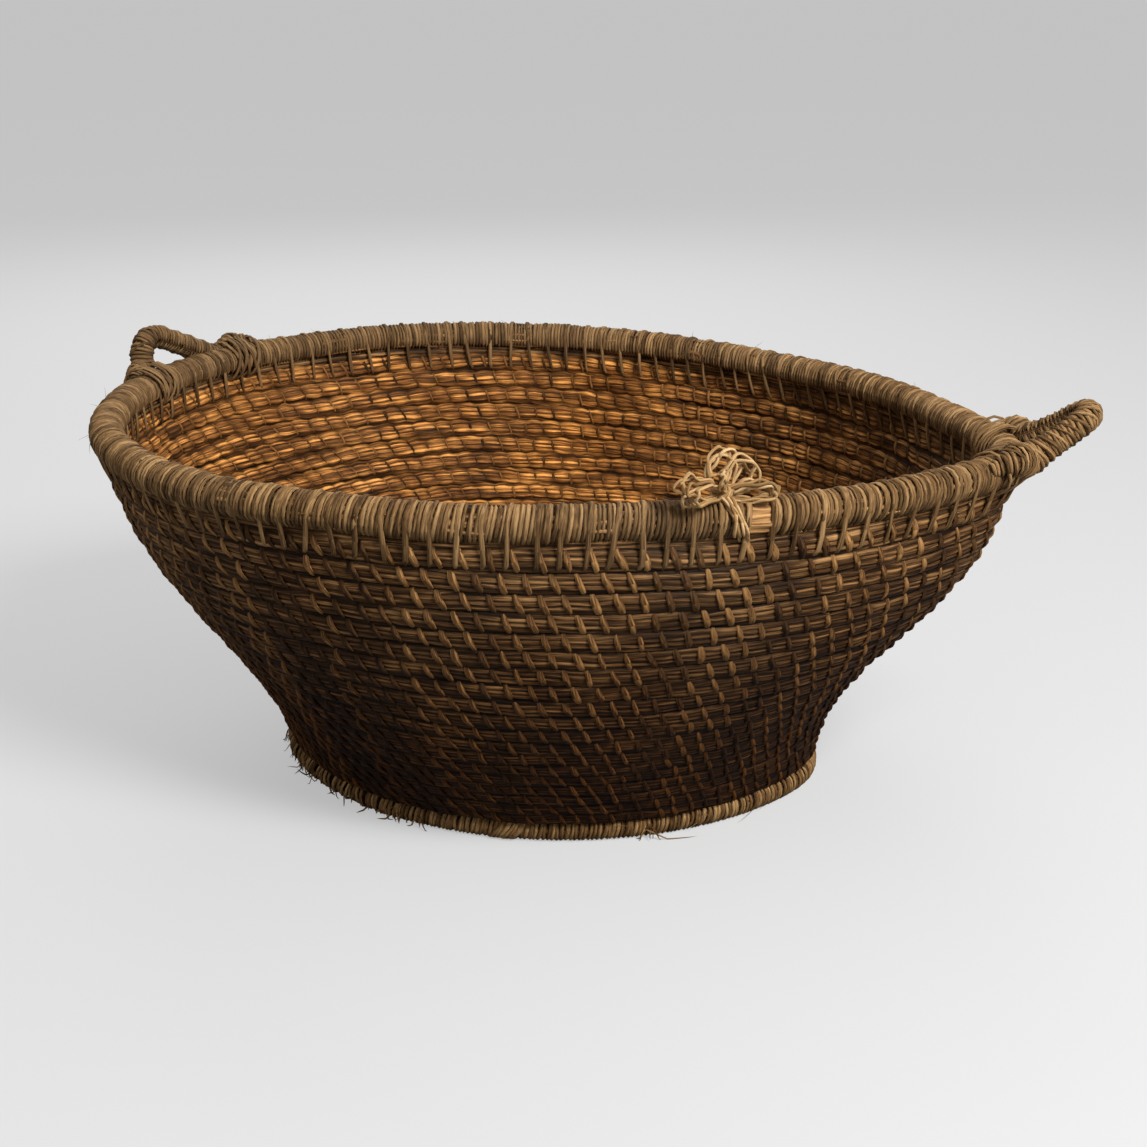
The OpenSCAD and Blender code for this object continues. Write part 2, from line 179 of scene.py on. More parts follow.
def level_size(i):
    """Four reaches from the axis to the middle of a level, its height and its own radius."""
    low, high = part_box(course_node(i))
    core = FOOT_D / 2 - WRAP_DEPTH if i == 0 else (high.z - low.z) / 2
    radius = core if 0 < i < RIM else core + WRAP_DEPTH
    reaches = (AXIS[0] - low.x - core, high.x - AXIS[0] - core,
               AXIS[1] - low.y - core, high.y - AXIS[1] - core)
    return reaches, high.z - core, radius


SIZES = [level_size(i) for i in range(RIM + 1)]
RADIUS = [size[2] for size in SIZES]
SLANT = np.cumsum([0] + [RADIUS[i] + RADIUS[i + 1] + BUNDLE_GAP for i in range(RIM)])


def level_track(i):
    """A level as a closed route, a little uneven, with the polar direction of each point."""
    reaches, z, _ = SIZES[i]
    u = SLANT[i] / SLANT[-1]
    arcs = oval(*reaches, mix(*ROUND, u), mix(*NOSE_R, u), mix(*NOSE_Y, u))
    flat, angles = [], []
    for (cx, cy), radius, a0, a1 in arcs:
        count = int(radius * math.radians(a1 - a0) / POINT_GAP)
        t = np.radians(np.linspace(a0, a1, count, endpoint=False))
        flat.append(np.stack([cx + radius * np.cos(t), cy + radius * np.sin(t)], -1))
        angles.append(t)
    flat, angles = np.vstack(flat), np.concatenate(angles)
    flat, angles = np.vstack([flat, flat[:1]]), np.append(angles, angles[0])
    out = np.stack([np.cos(angles), np.sin(angles), 0 * angles], -1)
    up = np.tile([0.0, 0.0, 1.0], (len(flat), 1))
    part = np.linspace(0, 1, len(flat))
    uneven = 0 if i == 0 else 0.5 if i < RIM else 0.6
    sway = [Waves(31 * i + a, 1, 3, 26)(0, part) * uneven * MM for a in (1, 2)]
    points = np.column_stack([flat + AXIS, np.full(len(flat), z)])
    track = Track(points + out * sway[0][:, None] + up * sway[1][:, None], out, up, closed=True)
    track.polar = np.degrees(np.unwrap(np.arctan2(flat[:, 1], flat[:, 0])))
    return track


LEVELS = [level_track(i) for i in range(RIM + 1)]


def at_direction(i, direction):
    """The distance along a level at which it meets a direction from the axis, in degrees."""
    track = LEVELS[i]
    start = track.polar[0]
    return np.interp(start + np.mod(direction - start, 360), track.polar, track.s)


def direction_at(i, s):
    track = LEVELS[i]
    return np.interp(np.mod(s, track.length), track.s, track.polar)


def column(part):
    """The direction of a stitch column, by its share of the way round at half height."""
    middle = LEVELS[RIM // 2]
    return np.interp(np.mod(part, 1) * middle.length, middle.s, middle.polar)


def wall_tilt(i):
    """How far the wall leans outwards from upright at each point of a level, in radians."""
    track = LEVELS[i]
    below, above = max(i - 1, 0), min(i + 1, RIM)
    ends = [LEVELS[j].read(LEVELS[j].points, at_direction(j, track.polar)) for j in (below, above)]
    rise = ends[1] - ends[0]
    return np.arctan2((rise * track.out).sum(-1), rise[:, 2])


for _i, _track in enumerate(LEVELS):
    _track.tilt = wall_tilt(_i)


def tilt_at(i, s):
    track = LEVELS[i]
    return np.interp(np.mod(s, track.length), track.s, track.tilt)


def upright(s):
    """The tilt of a ring that doesn't lean."""
    return 0 * s


def quarters(track, places):
    """Each quarter of a closed track: its number, its side and the places on it."""
    quarter = track.length / 4
    for q, side in enumerate(SIDES):
        yield q, side, places[(places >= q * quarter) & (places < (q + 1) * quarter)]


# ---- Meshes: grids of quads, each rolled into a strand or a bundle ----

def woven(name, count, around, along, shape, slot, nodes=()):
    """Rolls a number of grids into tubes. shape gives places, the tone, painted shade and inner values, and
    sizes for the UVs.
    """
    bm = bmesh.new()
    bm.loops.layers.uv.new("UVMap")
    for _ in range(count):
        bmesh.ops.create_grid(bm, x_segments=around, y_segments=along, size=1, calc_uvs=True)
    mesh = bpy.data.meshes.new(name)
    bm.to_mesh(mesh)
    bm.free()
    grid = np.empty(len(mesh.vertices) * 3, np.float32)
    mesh.vertices.foreach_get("co", grid)
    u, v = ((grid.reshape(-1, 3)[:, :2] + 1) / 2).astype(float).T
    k = np.repeat(np.arange(count), len(u) // count)
    places, finish, width, length = shape(k, u, v)
    mesh.vertices.foreach_set("co", places.astype(np.float32).ravel())
    # Each point's tone, its painted shade and how far it faces the inside
    paint = mesh.attributes.new("finish", "FLOAT_COLOR", "POINT")
    rgba = np.column_stack([np.clip(f * np.ones(len(u)), 0, 1) for f in (*finish, 1.0)])
    paint.data.foreach_set("color", rgba.astype(np.float32).ravel())
    ends = np.empty(len(mesh.loops), np.int32)
    mesh.loops.foreach_get("vertex_index", ends)
    flat = np.empty(len(ends) * 2, np.float32)
    mesh.uv_layers[0].data.foreach_get("uv", flat)
    flat = flat.reshape(-1, 2) * np.column_stack([width * np.ones(len(u)), length * np.ones(len(u))])[ends]
    flat += np.column_stack([(k * 0.37) % 5, (k * 0.61) % 7])[ends]
    mesh.uv_layers[0].data.foreach_set("uv", flat.astype(np.float32).ravel())
    bm = bmesh.new()
    bm.from_mesh(mesh)
    bmesh.ops.remove_doubles(bm, verts=bm.verts, dist=0.002 * MM)
    bmesh.ops.dissolve_degenerate(bm, edges=bm.edges, dist=0.001 * MM)
    bmesh.ops.recalc_face_normals(bm, faces=bm.faces)
    for face in bm.faces:
        face.smooth = True
    bm.to_mesh(mesh)
    bm.free()
    piece = bpy.data.objects.new(name, mesh)
    bpy.context.collection.objects.link(piece)
    mesh.materials.append(bpy.data.materials[slot + "_fibre"])
    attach(piece, "root")
    if nodes:
        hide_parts(*nodes)


def strands(name, count, around, along, route, size, look, slot, nodes=(), taper=0.0):
    """Lays flat strands. route gives the middle, the flat side's direction and the width's direction;
    size gives width, thickness and length; look gives shade and inner; tones are drawn per strand."""
    rng = np.random.default_rng(len(name) * 7 + count)
    tone = rng.uniform(0, 1, count)

    def shape(k, u, v):
        middle, side, across = route(k, v)
        width, thick, length = size(k, v)
        shade, inner = look(k, v)
        if taper:
            thin = smooth(0, taper, v) * smooth(0, taper, 1 - v)
            width, thick = width * thin, thick * thin
        psi = TURN * u
        places = (middle + across * (width / 2 * np.cos(psi))[:, None]
                  + side * (thick / 2 * np.sin(psi))[:, None])
        return places, (tone[k], shade, inner), 6 * MM, length

    woven(name, count, around, along, shape, slot, nodes)


def even(*values):
    """The same values all along every strand."""
    return lambda k, v: tuple(value + 0 * v for value in values)


def across_of(track, s, round_way, slope):
    """The direction of a strand's width where it goes round a track with a slope along it."""
    return unit(track.ahead(s) - round_way * slope[:, None])


# ---- Materials ----

STOPS = (0.18, 0.5, 0.82)                # places of the dark, middle and light colour
SHEEN = 0.1                              # dry fibre hardly shines
DULL = (0.15, 0.1, 0.055)                # aged, greyed fibre
# Tints that multiply a fibre's colour: painted shade low on the outside, painted light on the inner side;
# CLEAN changes nothing
LOW_SHADE, CLEAN = (0.22, 0.15, 0.075), (1.0, 1.0, 1.0)
STRAW_PAINTED_LIGHT, STITCH_PAINTED_LIGHT = (3.3, 2.6, 1.5), (1.5, 1.1, 0.6)
# Each fibre: kind of colours, grain across and along it in mm, share of grey, painted shade low outside,
# painted light inside, brightness of the painted shade in its hollows, roughness and height of the grain
FIBRES = (
    ("straw_bundle", "straw", 0.42, 16, 0.22, LOW_SHADE, STRAW_PAINTED_LIGHT, 0.04, 0.74, 0.5 * MM),
    ("stitch_strand", "stitch", 0.5, 7, 0.12, LOW_SHADE, STITCH_PAINTED_LIGHT, 0.1, 0.76, 0.5 * MM),
    ("wrap_strand", "wrap", 0.5, 7, 0.2, CLEAN, CLEAN, 0.3, 0.8, 0.5 * MM),
    ("foot_strand", "foot", 0.5, 7, 0.0, CLEAN, CLEAN, 0.3, 0.8, 0.5 * MM),
    ("pale_bast", "bast", 0.4, 9, 0.0, CLEAN, CLEAN, 0.5, 0.7, 0.4 * MM),
)


def group(name, inputs, outputs):
    """An empty shader group with named sockets, its input and its output node."""
    tree = bpy.data.node_groups.new(name, "ShaderNodeTree")
    for label, kind, value in inputs:
        socket = tree.interface.new_socket(label, in_out="INPUT", socket_type=kind)
        if value is not None:
            socket.default_value = value
    for label, kind in outputs:
        tree.interface.new_socket(label, in_out="OUTPUT", socket_type=kind)
    return tree, tree.nodes.new("NodeGroupInput"), tree.nodes.new("NodeGroupOutput")


def node(tree, kind, links=None, **settings):
    """A node with its settings, and values or other sockets joined to its inputs."""
    made = tree.nodes.new(kind)
    for key, value in settings.items():
        setattr(made, key, value)
    for key, value in (links or {}).items():
        socket = made.inputs[key]
        if isinstance(value, bpy.types.NodeSocket):
            tree.links.new(value, socket)
        else:
            socket.default_value = value
    return made


def maths(tree, operation, a, b=0.0, clamp=False):
    return node(tree, "ShaderNodeMath", {0: a, 1: b}, operation=operation, use_clamp=clamp).outputs[0]


def blend_colour(tree, factor, a, b, mode="MIX"):
    made = node(tree, "ShaderNodeMix", data_type="RGBA", blend_type=mode)
    for key, value in ((0, factor), (6, a), (7, b)):
        if isinstance(value, bpy.types.NodeSocket):
            tree.links.new(value, made.inputs[key])
        else:
            made.inputs[key].default_value = value
    return made.outputs[2]


def grain_group():
    """Fibres along a strand: V runs along it and U across it, both in metres."""
    tree, given, made = group("Fibre grain", [
        ("Vector", "NodeSocketVector", None), ("Across", "NodeSocketFloat", 0.4),
        ("Along", "NodeSocketFloat", 12.0)],
        [("Grain", "NodeSocketFloat"), ("Streak", "NodeSocketFloat"), ("Height", "NodeSocketFloat")])
    parts = node(tree, "ShaderNodeSeparateXYZ", {0: given.outputs["Vector"]})
    found = []
    for wide, detail in ((1.0, 3.0), (3.4, 2.0)):
        across = maths(tree, "DIVIDE", maths(tree, "MULTIPLY", parts.outputs[0], 1000 / wide),
                       given.outputs["Across"])
        along = maths(tree, "DIVIDE", maths(tree, "MULTIPLY", parts.outputs[1], 1000 / wide),
                      given.outputs["Along"])
        spot = node(tree, "ShaderNodeCombineXYZ", {0: across, 1: along, 2: wide * 5})
        found.append(node(tree, "ShaderNodeTexNoise", {"Vector": spot.outputs[0], "Scale": 1.0,
                                                       "Detail": detail, "Roughness": 0.6}).outputs[0])
    wide_range = [node(tree, "ShaderNodeMapRange", {0: f, 1: 0.32, 2: 0.68}).outputs[0] for f in found]
    tree.links.new(wide_range[0], made.inputs["Grain"])
    tree.links.new(wide_range[1], made.inputs["Streak"])
    height = maths(tree, "ADD", maths(tree, "MULTIPLY", found[0], 0.5),
                   maths(tree, "MULTIPLY", found[1], 0.8))
    tree.links.new(height, made.inputs["Height"])


def age_and_shading_group():
    """Age and painted light on the whole basket: grey patches, painted light inside that is warmer and
    brighter towards the left, and painted shade that darkens the outside towards the bottom.
    """
    tree, given, made = group("Weathering", [
        ("Color", "NodeSocketColor", None), ("Place", "NodeSocketVector", None),
        ("Inner", "NodeSocketFloat", 0.0), ("Grey", "NodeSocketFloat", 0.3),
        ("Warm", "NodeSocketColor", None), ("Dull", "NodeSocketColor", None),
        ("Grime", "NodeSocketColor", None)],
        [("Color", "NodeSocketColor")])
    place = given.outputs["Place"]
    patch = node(tree, "ShaderNodeTexNoise", {"Vector": place, "Scale": 11.0, "Detail": 3.0})
    parts = node(tree, "ShaderNodeSeparateXYZ", {0: place})
    leftward = node(tree, "ShaderNodeMapRange", {0: parts.outputs[0], 1: -0.10, 2: -0.30}).outputs[0]
    spread = node(tree, "ShaderNodeMapRange", {0: patch.outputs[0], 1: 0.42, 2: 0.66}).outputs[0]
    grey = maths(tree, "MULTIPLY", maths(tree, "ADD", spread, maths(tree, "MULTIPLY", leftward, 0.9), True),
                 given.outputs["Grey"])
    # Painted light: the inner side is made warmer and brighter towards the left
    painted_light_spots = maths(tree, "MULTIPLY", given.outputs["Inner"],
                       node(tree, "ShaderNodeMapRange", {0: parts.outputs[0], 1: 0.22, 2: -0.04}).outputs[0])
    lit_inside = blend_colour(tree, maths(tree, "MULTIPLY", painted_light_spots, 0.75), given.outputs["Color"],
                          given.outputs["Warm"], "MULTIPLY")
    greyed = blend_colour(tree, grey, lit_inside, given.outputs["Dull"])
    # Painted shade: the outside gets darker and browner towards the bottom, under the leaning wall
    low = node(tree, "ShaderNodeMapRange", {0: parts.outputs[2], 1: 0.04, 2: 0.215}).outputs[0]
    grime = blend_colour(tree, maths(tree, "POWER", low, 1.6), given.outputs["Grime"], (1, 1, 1, 1))
    shaded_low = blend_colour(tree, 1.0, greyed, grime, "MULTIPLY")
    aged_and_shaded = blend_colour(tree, given.outputs["Inner"], shaded_low, greyed)
    tree.links.new(aged_and_shaded, made.inputs["Color"])


def fibre_material(name, colours, across, along, grey, grime, warm, hollow_shade_floor, roughness, bump):
    """A dry plant fibre: grain along the strand, a tone for each strand, age over all, painted light inside,
    and painted shade low outside and in its hollows.
    """
    made = bpy.data.materials.new(name + "_fibre")
    made.use_nodes = True
    tree = made.node_tree
    shader = tree.nodes["Principled BSDF"]
    coords = node(tree, "ShaderNodeTexCoord")
    grain = node(tree, "ShaderNodeGroup", node_tree=bpy.data.node_groups["Fibre grain"])
    tree.links.new(coords.outputs["UV"], grain.inputs["Vector"])
    grain.inputs["Across"].default_value = across
    grain.inputs["Along"].default_value = along
    finish = node(tree, "ShaderNodeAttribute", attribute_name="finish")
    tone, shade, inner = node(tree, "ShaderNodeSeparateColor", {0: finish.outputs["Color"]}).outputs
    streaked = maths(tree, "ADD", maths(tree, "MULTIPLY", grain.outputs["Grain"], 0.4),
                     maths(tree, "MULTIPLY", grain.outputs["Streak"], 0.34))
    level = maths(tree, "ADD", maths(tree, "SUBTRACT", streaked, 0.08),
                  maths(tree, "MULTIPLY", tone, 0.42), True)
    ramp = node(tree, "ShaderNodeValToRGB", {0: level})
    stops = ramp.color_ramp.elements
    stops.new(STOPS[1])
    for stop, place, colour in zip(stops, STOPS, colours):
        stop.position = place
        stop.color = (*colour, 1)
    aged_and_shaded = node(tree, "ShaderNodeGroup", node_tree=bpy.data.node_groups["Weathering"])
    for key, value in (("Color", ramp.outputs[0]), ("Place", coords.outputs["Object"]), ("Inner", inner)):
        tree.links.new(value, aged_and_shaded.inputs[key])
    aged_and_shaded.inputs["Grey"].default_value = grey
    aged_and_shaded.inputs["Warm"].default_value = (*warm, 1)
    aged_and_shaded.inputs["Dull"].default_value = (*DULL, 1)
    aged_and_shaded.inputs["Grime"].default_value = (*grime, 1)
    # Painted shade in the hollows between stems and courses and under stitches, with some dark grime in the
    # gaps
    hollow_shade = node(tree, "ShaderNodeMapRange", {0: shade, 3: hollow_shade_floor, 4: 1.0}).outputs[0]
    final = node(tree, "ShaderNodeVectorMath", {0: aged_and_shaded.outputs[0], 1: hollow_shade}, operation="MULTIPLY")
    tree.links.new(final.outputs[0], shader.inputs["Base Color"])
    rough = node(tree, "ShaderNodeMapRange", {0: grain.outputs["Grain"], 3: roughness, 4: roughness - 0.16})
    tree.links.new(rough.outputs[0], shader.inputs["Roughness"])
    relief = node(tree, "ShaderNodeBump", {"Height": grain.outputs["Height"], "Distance": bump})
    tree.links.new(relief.outputs[0], shader.inputs["Normal"])
    shader.inputs["Specular IOR Level"].default_value = SHEEN


# ---- Sizes and colours that a user would change ----

def length_prop(name, description, default):
    return bpy.props.FloatProperty(name=name, description=description, default=default,
                                   min=0, unit="LENGTH", precision=4)


def colour_prop(name, description, default):
    return bpy.props.FloatVectorProperty(name=name, description=description, default=default,
                                         size=3, min=0, max=1, subtype="COLOR")


class BasketSizes(bpy.types.PropertyGroup):
    """Sizes of the strands, bundles and loose fibres."""

    stems: bpy.props.IntProperty(name="Stems", description="Stems seen round a bundle", default=11, min=5)
    stitches: bpy.props.IntProperty(name="Stitches", description="Stitches in each course", default=106)
    strand_w: length_prop("Strand width", "Width of a stitch strand", 4.1 * MM)
    strand_t: length_prop("Strand thickness", "Thickness of a stitch strand", 1.7 * MM)
    wrap_w: length_prop("Wrapping width", "Width of the strand round the rim and handles", 2.7 * MM)
    wrap_t: length_prop("Wrapping thickness", "Thickness of that strand", 1.7 * MM)
    wrap_pitch: length_prop("Wrapping pitch", "Distance from one turn to the next", 2.45 * MM)
    handle_d: length_prop("Handle diameter", "Diameter of a handle over its wrapping", 15 * MM)
    tie_d: length_prop("Tie strand", "Diameter of one strand of the tie", 1.9 * MM)
    frays: bpy.props.IntProperty(name="Frays", description="Loose fibres on the rim and foot", default=300)


class BasketColours(bpy.types.PropertyGroup):
    """Dark, middle and light colour of each fibre."""

    straw_dark: colour_prop("Straw, dark", "Darkest stems of a bundle", (0.02, 0.0085, 0.0028))
    straw_mid: colour_prop("Straw", "Stems of a bundle", (0.14, 0.061, 0.0185))
    straw_light: colour_prop("Straw, light", "Palest stems of a bundle", (0.62, 0.33, 0.125))
    stitch_dark: colour_prop("Stitch, dark", "Darkest stitch strands", (0.02, 0.0085, 0.0028))
    stitch_mid: colour_prop("Stitch", "Stitch strands", (0.13, 0.059, 0.018))
    stitch_light: colour_prop("Stitch, light", "Palest stitch strands", (0.46, 0.245, 0.088))
    wrap_dark: colour_prop("Wrapping, dark", "Darkest wrapping", (0.05, 0.0245, 0.0085))
    wrap_mid: colour_prop("Wrapping", "Wrapping of the rim and handles", (0.2, 0.108, 0.041))
    wrap_light: colour_prop("Wrapping, light", "Palest wrapping", (0.43, 0.255, 0.108))
    foot_dark: colour_prop("Foot, dark", "Darkest wrapping of the foot", (0.055, 0.026, 0.0085))
    foot_mid: colour_prop("Foot", "Wrapping of the foot ring", (0.175, 0.09, 0.031))
    foot_light: colour_prop("Foot, light", "Palest wrapping of the foot", (0.4, 0.24, 0.1))
    bast_dark: colour_prop("Bast, dark", "Darkest bast of the tie", (0.16, 0.085, 0.03))
    bast_mid: colour_prop("Bast", "Bast of the tie", (0.43, 0.25, 0.098))
    bast_light: colour_prop("Bast, light", "Palest bast of the tie", (0.66, 0.46, 0.24))


def sizes():
    return bpy.context.scene.basket_sizes


def colour_stops(kind):
    """The dark, middle and light colour of a kind of fibre."""
    chosen = bpy.context.scene.basket_colours
    return [tuple(getattr(chosen, f"{kind}_{shade}")) for shade in ("dark", "mid", "light")]


# ---- Bundles ----

def stitch_places(i):
    """Distances along a course of its stitches, a little uneven, and their slant."""
    count = sizes().stitches
    rng = np.random.default_rng(500 + i)
    part = (np.arange(count) + (i % 2) / 2) / count
    s = at_direction(i, column(part)) + rng.normal(0, 0.75, count) * MM
    facing = np.radians(direction_at(i, s) - 215)
    slant = (2.1 + 1.2 * np.cos(facing) + rng.normal(0, 0.45, count)) * MM
    return s, slant


def slant_share(face, rise):
    """How far a slanted stitch has moved along its course: it leans one way outside, the other inside."""
    return -rise * np.tanh(2.6 * face)


def bundle_shape(track, radius, tilt, pinches, seed, stems, swell=0.0):
    """A bundle of stems that wander round one another and are drawn in by its stitches."""
    wander = Waves(seed, stems, 4, 60, 7)
    fat = Waves(seed + 1, stems, 8, 90, 7)
    turn = Waves(seed + 2, 1, 1, 7, 4)
    tones = Waves(seed + 3, stems, 2, 30, 5)

    def shape(k, u, v):
        s = v * track.length
        stem = np.minimum((u * stems + 1e-6).astype(int), stems - 1) % stems
        stem = np.where(u > 1 - 1e-6, 0, stem)
        phase = np.where(u > 1 - 1e-6, 0, u * stems + 1e-6 - stem)
        bump = np.sin(np.pi * np.clip(phase, 0, 1)) ** 0.7
        angle = TURN * u + 0.5 * turn(0, v) + 0.07 * wander(stem, v)
        lean = tilt(s)
        height = np.sin(angle + lean)
        face = np.cos(angle + lean)
        inner = drawn = 0 * s
        if pinches is not None:
            inner = smooth(0.1, -0.1, face)
            middles, slants = pinches
            slant = np.interp(s, middles, slants)
            from_stitch = s - slant * slant_share(face, height)
            away = np.abs(from_stitch[:, None] - middles[None]).min(1)
            drawn = np.exp(-(away / mix(2.4 * MM, 3.0 * MM, inner)) ** 2)
        r = radius * (0.92 + 0.12 * bump + 0.06 * fat(stem, v) * bump - mix(0.06, 0.2, inner) * drawn)
        r = r + swell * height ** 2 + 0.5 * MM * inner
        places, _, _ = track.place(s, angle, r)
        # Painted shade: dark in the grooves between stems, where the course meets its neighbours and where
        # stitches draw it in; the gaps also hold some dark grime
        shade = (0.12 + 0.88 * bump) * (1 - 0.92 * smooth(0.55, 0.95, np.abs(height)))
        shade = shade * (1 - mix(0.3, 0.6, inner) * drawn)
        tone = 0.5 + 0.45 * tones(stem, v)
        return places, (tone, shade, inner), TURN * radius, track.length

    return shape


def make_course(i):
    track = LEVELS[i]
    places, slants = stitch_places(i)
    middles = np.concatenate([places - track.length, places, places + track.length])
    order = np.argsort(middles)
    pinches = middles[order], np.tile(slants, 3)[order]
    stems = sizes().stems
    shape = bundle_shape(track, RADIUS[i], lambda s: tilt_at(i, s), pinches, 900 + 10 * i, stems,
                         COURSE_SWELL)
    woven(f"bundle_{i:02d}", 1, 3 * stems, int(track.length / COURSE_STEP), shape, "straw_bundle",
          [f"course_{i:02d}"])


# ---- Stitches ----

def make_stitch_row(i):
    """Strands round a course: slanted outside, nearly upright inside, dipping to the row below."""
    track = LEVELS[i]
    places, slants = stitch_places(i)
    count = len(places)
    rng = np.random.default_rng(40 + i)
    wide = rng.uniform(0.84, 1.2, count) * sizes().strand_w * mix(0.72, 1.04, i / COURSES)
    proud = rng.uniform(-0.1, 0.4, count) * MM
    thick = sizes().strand_t

    def route(k, v):
        angle = TURN * v
        face, rise = np.cos(angle), np.sin(angle)
        s = places[k] + slants[k] * slant_share(face, rise)
        radius = (RADIUS[i] + 0.35 * thick + proud[k] + 1.3 * MM * smooth(0.5, 1, -rise)
                  + 1.0 * MM * smooth(0.6, 1, rise) - 0.75 * MM * smooth(0, -0.5, face))
        middle, side, round_way = track.place(s, angle - tilt_at(i, s), radius)
        across = across_of(track, s, round_way, -slants[k] * np.abs(face) * np.sign(face) / radius)
        return middle, side, across

    def size(k, v):
        pinch = (1 - 0.38 * np.abs(np.sin(TURN * v)) ** 3) * mix(1, 0.7, smooth(0, -0.5, np.cos(TURN * v)))
        return wide[k] * pinch, thick * np.ones(len(v)), TURN * RADIUS[i]

    # Painted shade: darker where the strand dips between the courses, and on the inner side
    def look(k, v):
        angle = TURN * v
        inner = smooth(0.1, -0.1, np.cos(angle))
        return (1 - 0.75 * smooth(0.7, 1.0, np.abs(np.sin(angle)))) * (1 - 0.45 * inner), inner

    strands(f"stitch_row_{i:02d}", count, 5, 14, route, size, look, "stitch_strand",
            [f"stitches_{i:02d}"])


# ---- Wrapping ----

def make_wrapping(name, track, places, radius, slot, nodes=(), lean=1.0, loose=None, seed=0, floor=None,
                  pitch=None, width=1.0):
    """One turn of strand at each place on a track, tucked under the next where it isn't seen."""
    rng = np.random.default_rng(seed)
    count = len(places)
    pitch = pitch or sizes().wrap_pitch
    free = loose if loose is not None else np.zeros(count)
    shift = rng.normal(0, 0.28, count) * MM * (1 + 2.5 * free)
    slope = (lean + rng.normal(0, 0.4, count) * (1 + 2.2 * free)) * MM
    proud = rng.uniform(-0.15, 0.4, count) * MM + free * rng.uniform(0, 1.6, count) * MM
    wide = rng.uniform(0.8, 1.2, count) * sizes().wrap_w * width
    thick = sizes().wrap_t * (1 + 0.2 * free)
    radii = radius if callable(radius) else lambda s: radius + 0 * s

    def route(k, v):
        angle = TUCK + TURN * v
        s = places[k] + pitch * (v - 0.5) + (shift[k] + slope[k] * np.sin(angle + 0.5)) * np.sin(np.pi * v)
        r = radii(s) - thick[k] / 2 + proud[k] * np.sin(np.pi * v)
        middle, side, round_way = track.place(s, angle, r)
        if floor is not None:
            middle[:, 2] = np.maximum(middle[:, 2], floor)
        slope_here = (pitch / TURN + slope[k] * np.cos(angle + 0.5)) / np.maximum(r, MM)
        return middle, side, across_of(track, s, round_way, slope_here)

    def size(k, v):
        return wide[k] * np.ones(len(v)), thick[k], TURN * 10 * MM

    # Painted shade: each turn is lighter on its track's upper side and darker on the lower side
    def look(k, v):
        angle = TUCK + TURN * v
        return 0.75 + 0.25 * np.sin(angle), 0 * v

    strands(name, count, 4, 14, route, size, look, slot, nodes, taper=0.06)


def rim_places(pitch):
    """The rim's turns, without those of the worn patch."""
    track = LEVELS[RIM]
    places = np.arange(0, track.length - pitch / 2, pitch)
    away = np.abs(np.mod(direction_at(RIM, places) - BARE_DIR + 180, 360) - 180)
    return places[away > BARE_HALF]


def make_rim():
    track = LEVELS[RIM]
    radius = RADIUS[RIM]
    core = radius - WRAP_DEPTH
    plain = bundle_shape(track, core + 0.1 * MM, upright, None, 77, 13)

    def shape(k, u, v):
        places, (tone, shade, inner), around, along = plain(k, u, v)
        bare = np.abs(np.mod(direction_at(RIM, v * track.length) - BARE_DIR + 180, 360) - 180)
        worn = smooth(2.4 * BARE_HALF, BARE_HALF, bare)
        return places, (mix(tone, 1.0, worn), mix(shade, 1.0, 0.7 * worn), inner), around, along

    woven("rim_stems", 1, 39, 380, shape, "straw_bundle", ["rim_core"])
    fat = Waves(5, 1, 5, 40)
    for q, side, part in quarters(track, rim_places(sizes().wrap_pitch)):
        make_wrapping(f"rim_strand_{side}", track, part,
                      lambda s: radius + 0.35 * MM * fat(0, s / track.length), "wrap_strand",
                      [f"rim_wrap_{side}"], lean=1.5, seed=20 + q)


def make_bedding():
    """Stems packed into the groove between the rim and the last course."""
    low, high = LEVELS[COURSES], LEVELS[RIM]
    direction = column(np.linspace(0, 1, 400))
    one = low.read(low.points, at_direction(COURSES, direction))
    two = high.read(high.points, at_direction(RIM, direction))
    out = unit(np.stack([np.cos(np.radians(direction)), np.sin(np.radians(direction)), 0 * direction], -1))
    points = mix(one, two, 0.46)
    points[-1] = points[0]
    track = Track(points, out, np.tile([0.0, 0, 1], (400, 1)), closed=True)
    shape = bundle_shape(track, 5.0 * MM, upright, None, 79, 9)
    woven("rim_bedding_stems", 1, 27, 300, shape, "straw_bundle")


def make_rim_stitches():
    """Joining strands round the rim and the last course together."""
    count = sizes().stitches
    rng = np.random.default_rng(9)
    low, high = LEVELS[COURSES], LEVELS[RIM]
    direction = column((np.arange(count) + 0.25) / count)
    on_low = at_direction(COURSES, direction) + rng.normal(0, 0.9, count) * MM
    on_high = at_direction(RIM, direction) + rng.normal(0, 0.9, count) * MM
    lean = rng.normal(2.4, 0.9, count) * MM
    wide = rng.uniform(0.95, 1.35, count) * sizes().wrap_w

    def route(k, v):
        angle = TURN * v
        rise = np.sin(angle)
        share = smooth(-0.3, 0.45, rise)[:, None]
        slide = lean[k] * rise
        turn = angle - tilt_at(COURSES, on_low[k])
        one = low.place(on_low[k] + slide, turn, RADIUS[COURSES] + 1.0 * MM + 0 * v)
        two = high.place(on_high[k] + slide, turn, RADIUS[RIM] - 0.1 * MM + 0 * v)
        middle, side = mix(one[0], two[0], share), unit(mix(one[1], two[1], share))
        across = across_of(low, on_low[k], one[2], lean[k] * np.cos(angle) / (12 * MM))
        return middle, side, across

    def size(k, v):
        slim = 1 - 0.3 * smooth(0.5, 1, -np.sin(TURN * v)) - 0.25 * smooth(0, -0.5, np.cos(TURN * v))
        return wide[k] * slim, 1.9 * MM + 0 * v, 90 * MM

    # Painted shade: darker on the underside of the rim
    def look(k, v):
        return 0.4 + 0.5 * smooth(-1, 0.6, np.sin(TURN * v)), 0 * v

    strands("rim_joining_strands", count, 6, 18, route, size, look, "wrap_strand",
            ["rim_stitches"])


# ---- Foot ring ----

